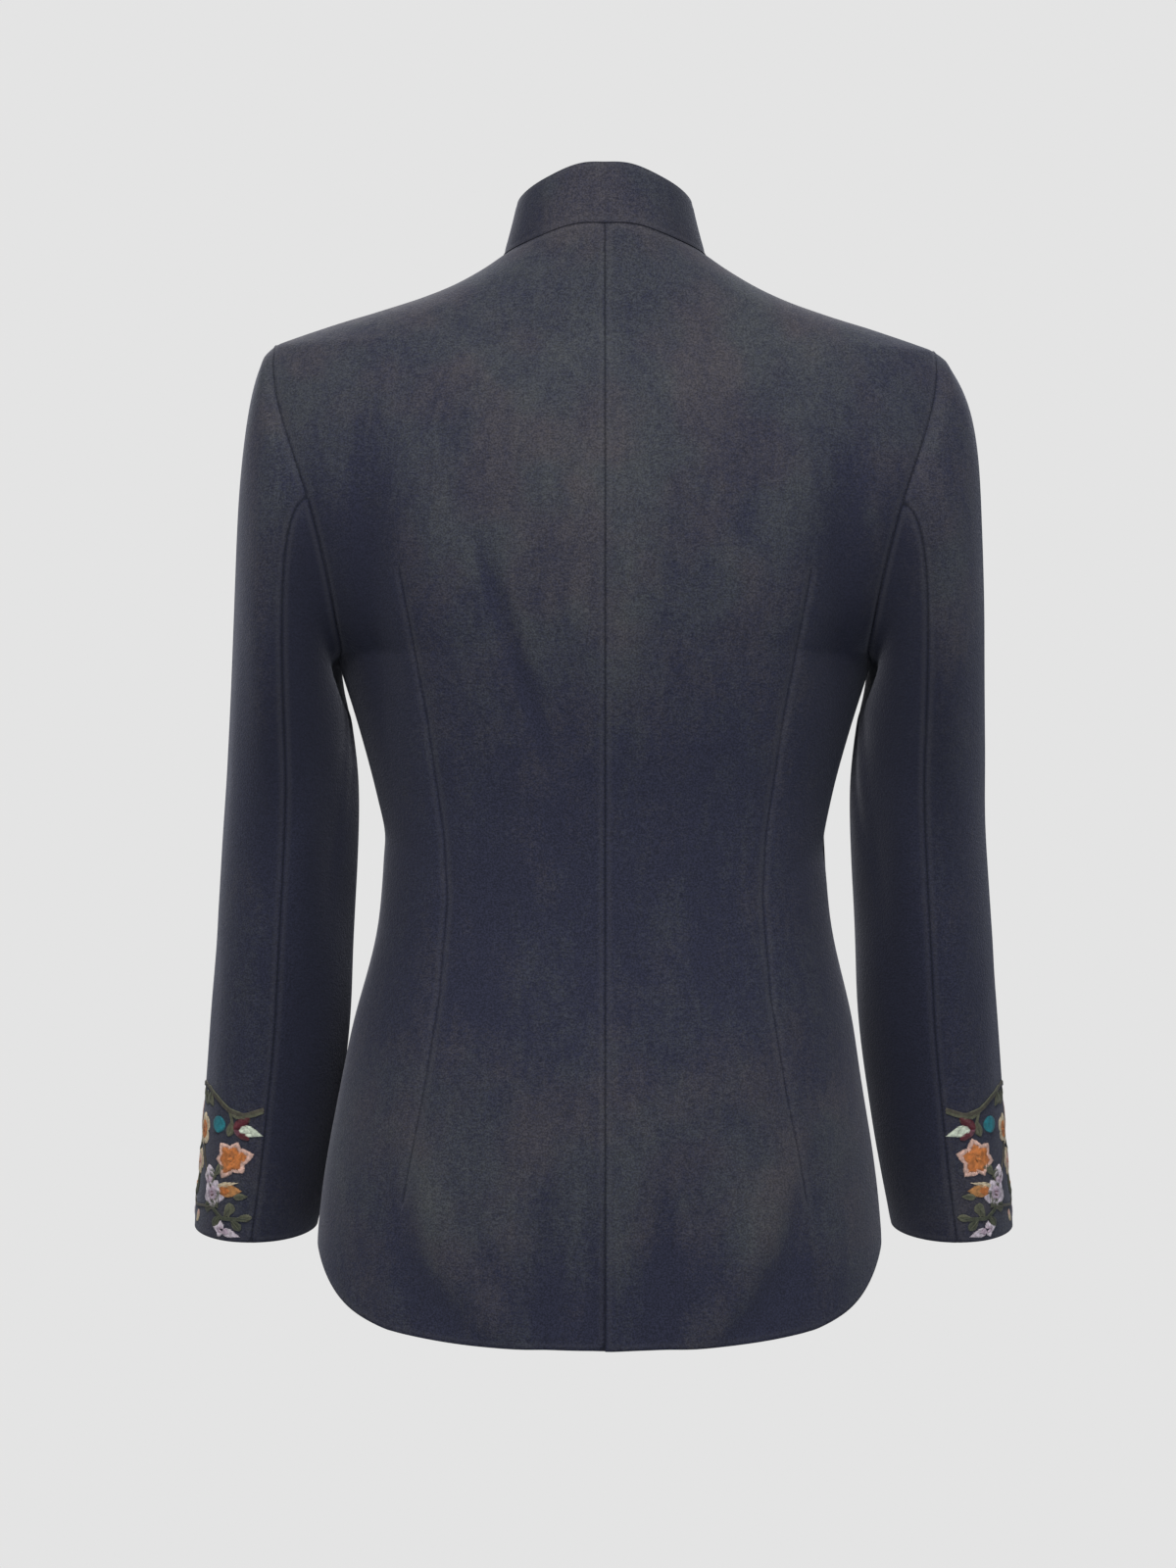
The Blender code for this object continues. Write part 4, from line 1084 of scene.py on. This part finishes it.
# %% The motifs of one cuff
# Columns: kind, place or places, then what that kind's planning function takes, in the same order.
# Later motifs lie over earlier ones where they cross.
CUFF = (
    ("stem", ((-34, 78), (-12, 84), (8, 89), (24, 88), (42, 84), (57, 78), (70, 76.5),
              (83, 80.5)), "twig", 5),
    ("stem", ((24, 89.5), (42, 85.5), (57, 79.5), (66, 77.8)), "olive", 2),
    ("stem", ((60, 77), (63, 74.5), (76, 76.5), (83, 79)), "olive", 4),
    ("stem", ((57, 78), (60, 73), (61, 66)), "olive", 4),
    ("stem", ((44, 31), (48, 38), (53, 42), (62, 46)), "olive", 4),
    ("stem", ((46, 27), (50, 18), (60, 13), (80, 13.5)), "deep_olive", 5),
    ("stem", ((18, 60), (27, 48), (38, 36), (46, 29)), "twig", 3),
    ("stem", ((-40, 52), (-24, 44), (-8, 44), (10, 50), (18, 60)), "olive", 3),
    ("stem", ((-56, 20), (-34, 16), (-10, 19), (14, 15), (36, 18), (50, 18)), "twig", 3),
    ("leaf", (20, 86), 262, 8.5, 7.5, "olive", "deep_olive"),
    ("leaf", (61, 73), 258, 10.5, 5.6, "olive", "deep_olive"),
    ("leaf", (66, 76), 332, 7.0, 4.0, "deep_olive", "olive"),
    ("leaf", (48, 38), 54, 9.0, 5.4, "olive", "deep_olive"),
    ("leaf", (50, 37), 158, 8.0, 5.2, "deep_olive", "olive"),
    ("leaf", (30, 88), 262, 9.0, 11.0, "olive", "deep_olive"),
    ("leaf", (50, 20), 196, 9.5, 6.6, "deep_olive", "olive"),
    ("leaf", (54, 20), 100, 8.5, 6.0, "deep_olive", "olive"),
    ("leaf", (66, 14), 92, 9.0, 4.6, "olive", "deep_olive"),
    ("leaf", (55, 19), 138, 10.5, 7.4, "olive", "deep_olive"),
    ("leaf", (58, 15), 236, 9.0, 5.6, "deep_olive", "olive"),
    ("leaf", (62, 14), 60, 9.5, 6.4, "olive", "deep_olive"),
    ("leaf", (68, 13), 314, 9.0, 4.8, "deep_olive", "olive"),
    ("leaf", (72, 13.5), 8, 9.0, 4.4, "olive", "deep_olive"),
    ("leaf", (16, 38), 262, 17.0, 4.4, "deep_olive", "olive"),
    ("leaf", (8, 86), 300, 9.0, 4.4, "olive", "deep_olive"),
    ("bud", (46, 69.0), 88, 9.8, 12.0, "teal"),
    ("bud", (68, 71.5), 40, 11.0, 6.4, "maroon"),
    ("bud", (69, 64.5), 150, 10.5, 4.6, "maroon", "wine"),
    ("petal", (65, 68.8), 343, 15.5, 7.0, "mint", "mint", 0.60, 0.75),
    ("flower", (62.5, 49.5), 12.6, 6, 14, "orange", "blush", "amber", 0.76, 0.45),
    ("petal", (52, 29.5), 4, 16.5, 8.0, "orange", "amber", 0.60, 0.4),
    ("petal", (50, 31.6), 14, 16.0, 3.2, "cream", "cream", 0.60, 0.6),
    ("leaf", (79, 27.5), 186, 8.0, 4.2, "olive", "deep_olive"),
    ("leaf", (60, 28), 176, 7.0, 3.2, "olive", "deep_olive"),
    ("petal", (43, 31), 108, 13.0, 11.0, "lilac", "pale_lilac", 0.5, 0.3),
    ("flower", (47, 27.0), 9.5, 5, 62, "lilac", "pale_lilac", "wine", 0.5, 0.3),
    ("petal", (60, 6.2), 168, 6.5, 4.6, "lilac", "pale_lilac", 0.5, 0.6),
    ("petal", (60, 6.0), 96, 5.8, 4.4, "lilac", "pale_lilac", 0.5, 0.6),
    ("petal", (60, 6.2), 344, 13.0, 5.2, "lilac", "pale_lilac", 0.5, 0.7),
    ("petal", (60, 6.2), 250, 5.0, 4.2, "lilac", "pale_lilac", 0.5, 0.4),
    ("flower", (20, 62), 9.4, 5, 40, "orange", "cream", "rust"),
    ("flower", (14, 42), 8.2, 5, 74, "blush", "cream", "orange"),
    ("bud", (24, 10), 68, 8.0, 4.4, "cream", "blush"),
    ("flower", (-14, 66), 9.4, 5, 12, "orange", "blush", "rust"),
    ("flower", (-30, 33), 7.4, 5, 50, "lilac", "pale_lilac", "wine"),
    ("bud", (-36, 80), 160, 9.0, 4.8, "teal"),
    ("bud", (-52, 54), 192, 8.5, 5.2, "maroon", "mint"),
    ("petal", (-6, 27), 300, 9.0, 4.6, "orange", "cream"),
    ("flower", (-12, 8), 5.2, 5, 0, "pale_lilac", "pale_lilac", "lilac"),
    ("leaf", (-26, 43), 116, 9.0, 4.2, "olive", "deep_olive"),
    ("leaf", (-38, 50), 214, 9.0, 4.0, "deep_olive", "olive"),
    ("leaf", (-34, 16), 236, 8.5, 4.2, "olive", "deep_olive"),
    ("leaf", (-54, 21), 160, 8.0, 3.8, "deep_olive", "olive"),
    ("leaf", (-20, 17), 62, 7.0, 3.6, "olive", "deep_olive"),
    ("leaf", (2, 18), 80, 8.0, 3.8, "deep_olive", "olive"),
    ("leaf", (-20, 82), 208, 8.0, 4.0, "deep_olive", "olive"),
)
PLANS = {"stem": stem, "leaf": leaf, "bud": bud, "petal": petal, "flower": flower}


def cuff_plan():
    """All the stitches of one cuff."""
    plan = []
    for kind, place, *shape in CUFF:
        spot = [flat_place(*each) for each in place] if kind == "stem" else flat_place(*place)
        plan += PLANS[kind](spot, *(COLOURS.get(value, value) for value in shape))
    return plan


print("motifs on one cuff:", len(CUFF), "in", len(THREADS), "colours")

# %% [markdown]
# Satin thread shines along its length and its plies show as fine bands of light and dark. One group
# gives that to every colour of thread.

# %% Thread finishes


def thread_group():
    """Fine bands of plies and slow changes of dye along the threads."""
    tree, start, end = new_group(
        "thread plies", [("Vector", VECTOR, None), ("Dye", COLOUR, (0.5, 0.5, 0.5, 1))],
        [("Color", COLOUR), ("Height", FLOAT)])
    bands = noise_at(tree, start.outputs["Vector"], 2600.0, 1.0)
    dyeing = noise_at(tree, start.outputs["Vector"], 420.0, 2.0)
    light = maths(tree, "MULTIPLY", spread(tree, bands, 0.3, 0.7, 0.80, 1.16),
                  spread(tree, dyeing, 0.3, 0.7, 0.74, 1.22))
    colour = mix_colour(tree, 1.0, start.outputs["Dye"], same_grey(tree, light), "MULTIPLY")
    tree.links.new(colour, end.inputs["Color"])
    tree.links.new(bands, end.inputs["Height"])
    return tree


plies = thread_group()


def thread_finish(name, dye):
    """Glossy thread of one colour."""
    material, tree, shader, place = new_material(name)
    strand = add_node(tree, "ShaderNodeGroup", node_tree=plies)
    put(tree, strand.inputs["Vector"], place)
    put(tree, strand.inputs["Dye"], (*dye, 1))
    bump = add_node(tree, "ShaderNodeBump", {"Height": strand.outputs["Height"], "Strength": 0.3,
                                             "Distance": 0.0001})
    for key, value in (("Base Color", strand.outputs["Color"]), ("Normal", bump.outputs[0]),
                       ("Roughness", 0.42), ("Specular IOR Level", 0.40), ("Sheen Weight", 0.15)):
        put(tree, shader.inputs[key], value)
    return material


thread_finishes = [thread_finish(name.replace("_", " ") + " thread", dye) for name, dye in THREADS.items()]
print("thread finishes:", [finish.name for finish in thread_finishes])

# %% Sew both cuffs
# The cuff's edge dips towards the back, and no stitch comes nearer to it than the plain edge.
CUFF_EDGE, CUFF_TILT = -0.5845, -0.0072
PLAIN_EDGE = 1.6


def embroider(label, side):
    """Lay the cuff's stitches on one sleeve."""
    tree = surface_of([cloth[f"sleeve_upper_{label}"], cloth[f"sleeve_under_{label}"]])
    laid = []
    for start, end, colour, arch in cuff_plan():
        path, normals = [], []
        for share in np.linspace(0, 1, STITCH_SAMPLES):
            across, above = start + (end - start) * share
            turn = math.degrees(across / 1000 / ROUND_ARM)
            edge = CUFF_EDGE + CUFF_TILT * math.sin(math.radians(turn))
            place, normal = sleeve_place(tree, side, turn, edge + max(above, PLAIN_EDGE) / 1000)
            path.append(place)
            normals.append(normal)
        laid.append((lay_stitch(path, normals, THREAD_RADIUS, arch), colour))
    return sew(f"cuff_embroidery_{label}", laid, thread_finishes)


for label, side in (("left", 1), ("right", -1)):
    embroider(label, side)

# %% [markdown]
# ## Buttons and buttonholes
# The photograph shows only the back, so the front is finished plainly: five small dark buttons with
# four holes, sewn on with matching thread, and a stitched buttonhole behind each. Each button is
# modelled flat at the origin and then moved into its mesh's place on the front.

# %% Model the buttons
BUTTON_RADIUS, BUTTON_THICKNESS = 0.0095, 0.0032
HOLE_RADIUS, HOLE_PLACE = 0.00085, 0.0018
# Columns: how far in from the last ring, how far up or down.
BUTTON_RINGS = ((0.0016, 0.0), (0.0011, -0.0009), (0.0012, -0.0002))
RIM_ROUNDING = 0.0007


def plain_button(name):
    """A turned button with a raised rim, a dished middle and four holes."""
    bpy.ops.object.select_all(action="DESELECT")
    bpy.ops.mesh.primitive_cylinder_add(vertices=48, radius=BUTTON_RADIUS, depth=BUTTON_THICKNESS,
                                        location=(0, 0, BUTTON_THICKNESS / 2))
    piece = bpy.context.active_object
    piece.name = piece.data.name = name
    bpy.ops.object.transform_apply(location=True, rotation=True, scale=True)
    bpy.ops.object.mode_set(mode="EDIT")
    bpy.ops.mesh.select_mode(type="FACE")
    bpy.ops.mesh.select_all(action="DESELECT")
    bpy.ops.object.mode_set(mode="OBJECT")
    for face in piece.data.polygons:
        face.select = face.normal.z > 0.9
    bpy.ops.object.mode_set(mode="EDIT")
    for inset, sink in BUTTON_RINGS:
        bpy.ops.mesh.inset(thickness=inset)
        bpy.ops.transform.translate(value=(0, 0, sink))
    bpy.ops.object.mode_set(mode="OBJECT")
    rounding = piece.modifiers.new("Rounded rim", "BEVEL")
    rounding.width, rounding.segments, rounding.limit_method = RIM_ROUNDING, 3, "ANGLE"
    rounding.angle_limit = math.radians(40)
    bpy.ops.object.modifier_apply(modifier=rounding.name)
    for x in (-HOLE_PLACE, HOLE_PLACE):
        for y in (-HOLE_PLACE, HOLE_PLACE):
            bpy.ops.object.select_all(action="DESELECT")
            bpy.ops.mesh.primitive_cylinder_add(vertices=16, radius=HOLE_RADIUS, depth=0.02,
                                                location=(x, y, 0))
            drill = bpy.context.active_object
            pick(piece)
            hole = piece.modifiers.new("Hole", "BOOLEAN")
            hole.object, hole.operation, hole.solver = drill, "DIFFERENCE", "EXACT"
            bpy.ops.object.modifier_apply(modifier=hole.name)
            bpy.data.objects.remove(drill)
    return piece


def button_seat(node):
    """Middle of a packed button's back, and the direction in which its face looks."""
    points = points_of(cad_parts[node].data)
    middle = (points.max(0) + points.min(0)) / 2
    axis = np.linalg.svd(points - points.mean(0), full_matrices=False)[2][2]
    axis = axis if axis[1] < 0 else -axis
    return Vector(middle) - Vector(axis) * BUTTON_THICKNESS / 2, Vector(axis)


def button_finish():
    """Dark moulded plastic with a faint swirl and fine wear on its face."""
    material, tree, shader, place = new_material("moulded button")
    swirl = noise_at(tree, place, 190.0, 3.0, distortion=2.2)
    wear = noise_at(tree, place, 1900.0, 2.0)
    colour = mix_colour(tree, spread(tree, swirl, 0.35, 0.68),
                        (0.012, 0.013, 0.020, 1), (0.034, 0.036, 0.048, 1))
    tree.links.new(colour, shader.inputs["Base Color"])
    tree.links.new(spread(tree, wear, 0.3, 0.75, 0.30, 0.46), shader.inputs["Roughness"])
    return material


button_plastic = button_finish()

# %% Put the buttons in their places
BUTTON_CREASE = math.radians(35)
sewn = []
for number in range(1, 6):
    piece = plain_button(f"front_button_{number}")
    seat, axis = button_seat(f"button_{number}")
    turn = axis.to_track_quat("Z", "X")
    piece.data.transform(turn.to_matrix().to_4x4())
    piece.data.transform(Matrix.Translation(seat))
    piece.data.materials.append(button_plastic)
    pick(piece)
    bpy.ops.object.shade_smooth_by_angle(angle=BUTTON_CREASE)
    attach(piece, "root")
    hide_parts(f"button_{number}")
    sewn.append((seat, axis, turn))
    print(f"{piece.name} at {seat.x:.4f}, {seat.y:.4f}, {seat.z:.4f}")

# %% [markdown]
# Each button is held by four passes of thread over each pair of holes. Its buttonhole is a short
# slit with close stitches along both sides and a bar at the end, and most of it hides under the
# button.

# %% Sew on the buttons
SEWING_THREADS = {"sewing": (0.030, 0.032, 0.045), "slit": (0.004, 0.004, 0.006)}
sewing_finishes = [thread_finish(name + " thread", dye) for name, dye in SEWING_THREADS.items()]
DISH_HEIGHT = BUTTON_THICKNESS - 0.0016
PASS_SHIFTS, PASS_RADIUS, PASS_ARCH = (-0.0004, -0.00013, 0.00013, 0.0004), 0.00022, 0.0007
passes = []
for seat, axis, turn in sewn:
    for y in (-HOLE_PLACE, HOLE_PLACE):
        for shift in PASS_SHIFTS:
            ends = [turn @ Vector((x, y + shift, DISH_HEIGHT)) + seat for x in (-HOLE_PLACE, HOLE_PLACE)]
            path = [ends[0].lerp(ends[1], k / 4) for k in range(5)]
            passes.append((lay_stitch(path, [axis] * 5, PASS_RADIUS, PASS_ARCH), 0))
sew("button_thread", passes, sewing_finishes)

# %% Stitch the buttonholes
HOLE_START, HOLE_LENGTH, HOLE_STITCH = 0.003, 0.0195, 0.0017
HOLE_SPACING, HOLE_HALF_SLIT, HOLE_BAR = 0.00048, 0.0002, 0.0013
HOLE_THREAD, HOLE_ARCH, BAR_ARCH, BAR_SPACING = 0.00024, 0.00035, 0.0003, 0.0005
front_tree = surface_of([cloth["front_right"]])


def on_front(x, z):
    """Point and normal of the right front at a place seen from the front."""
    place, normal, _, _ = front_tree.ray_cast(Vector((x, -0.3, z)), Vector((0, 1, 0)))
    return place, normal if normal.y < 0 else -normal


def front_stitch(x0, z0, x1, z1, finish, arch):
    """One stitch on the right front, between two places seen from the front."""
    places, normals = zip(*(on_front(x0 + (x1 - x0) * k / 4, z0 + (z1 - z0) * k / 4) for k in range(5)))
    return lay_stitch(places, normals, HOLE_THREAD, arch), finish


holes = []
for seat, _, _ in sewn:
    end = HOLE_START - HOLE_LENGTH
    holes.append(front_stitch(HOLE_START, seat.z, end, seat.z, 1, 0.0))
    for x in np.arange(HOLE_START, end, -HOLE_SPACING):
        for way in (1, -1):
            holes.append(front_stitch(x, seat.z + way * HOLE_HALF_SLIT, x, seat.z + way * HOLE_STITCH,
                                      0, HOLE_ARCH))
    for z in np.arange(-HOLE_STITCH, HOLE_STITCH, BAR_SPACING):
        holes.append(front_stitch(end, seat.z + z, end - HOLE_BAR, seat.z + z, 0, BAR_ARCH))
sew("buttonhole_stitches", holes, sewing_finishes)

# %% [markdown]


# %% [markdown]
# ## The studio
# The jacket is photographed straight from behind against an even pale grey. A wide soft light hangs
# high on the camera's side, so the shoulders and hips catch it and the under sleeves fall dark. The
# floor is far below, where it would be under a wearer.

# %% Floor
FLOOR_HEIGHT = -1.42
bpy.ops.object.select_all(action="DESELECT")
bpy.ops.mesh.primitive_plane_add(size=5.0, location=(0, 0, FLOOR_HEIGHT))
floor = bpy.context.active_object
floor.name = "studio_floor"
floor_paint = bpy.data.materials.new("studio floor")
floor_paint.use_nodes = True
floor_paint.node_tree.nodes["Principled BSDF"].inputs["Base Color"].default_value = (0.76, 0.76, 0.76, 1)
floor_paint.node_tree.nodes["Principled BSDF"].inputs["Roughness"].default_value = 0.9
floor.data.materials.append(floor_paint)


# %% Soft lights
def soft_light(name, place, target, size, power, tint):
    """A square soft light that faces a target."""
    bpy.ops.object.light_add(type="AREA", location=place)
    light = bpy.context.active_object
    light.name = name
    light.data.size = size
    light.data.energy = power
    light.data.color = tint
    light.rotation_euler = (Vector(target) - Vector(place)).to_track_quat("-Z", "Y").to_euler()
    print(f"{name}: {power} W, {size} m wide")


soft_light("key_light", (0.25, 2.0, 2.05), (0, 0, -0.22), 1.0, 84, (1.0, 0.955, 0.90))
soft_light("fill_light", (-1.6, 2.3, 0.3), (0, 0, -0.35), 1.8, 9, (0.90, 0.95, 1.0))
soft_light("front_light", (0.4, -2.4, 1.5), (0, 0, -0.25), 1.8, 50, (1.0, 0.97, 0.94))

# %% Even background
# The camera sees the plain grey, and the jacket is lit by a dimmer, cooler one.
BACKGROUND = (0.776, 0.776, 0.776, 1)
SKY_TINT, SKY_STRENGTH = (0.86, 0.92, 1.0, 1), 0.24
world = bpy.data.worlds.new("studio world")
bpy.context.scene.world = world
world.use_nodes = True
sky = world.node_tree
sky.nodes.clear()
seen = add_node(sky, "ShaderNodeBackground", {"Color": BACKGROUND, "Strength": 1.0})
cast = add_node(sky, "ShaderNodeBackground", {"Color": SKY_TINT, "Strength": SKY_STRENGTH})
ray = sky.nodes.new("ShaderNodeLightPath")
both = add_node(sky, "ShaderNodeMixShader", {0: ray.outputs["Is Camera Ray"], 1: cast.outputs[0],
                                             2: seen.outputs[0]})
add_node(sky, "ShaderNodeOutputWorld", {0: both.outputs[0]})

# %% Camera
CAMERA_PLACE = (0.010, 2.600, -0.317)
VIEW_HEIGHT = 0.944
SENSOR = 36.0
bpy.ops.object.camera_add(location=CAMERA_PLACE, rotation=(math.radians(90), 0, math.radians(180)))
camera = bpy.context.active_object
camera.name = "photo_camera"
camera.data.sensor_fit = "VERTICAL"
camera.data.sensor_height = SENSOR
camera.data.lens = SENSOR * CAMERA_PLACE[1] / VIEW_HEIGHT
camera.data.clip_end = 30.0
bpy.context.scene.camera = camera
bpy.context.scene.view_settings.view_transform = "Standard"
bpy.context.scene.view_settings.look = "None"
print(f"camera lens {camera.data.lens:.1f} mm at {CAMERA_PLACE}")
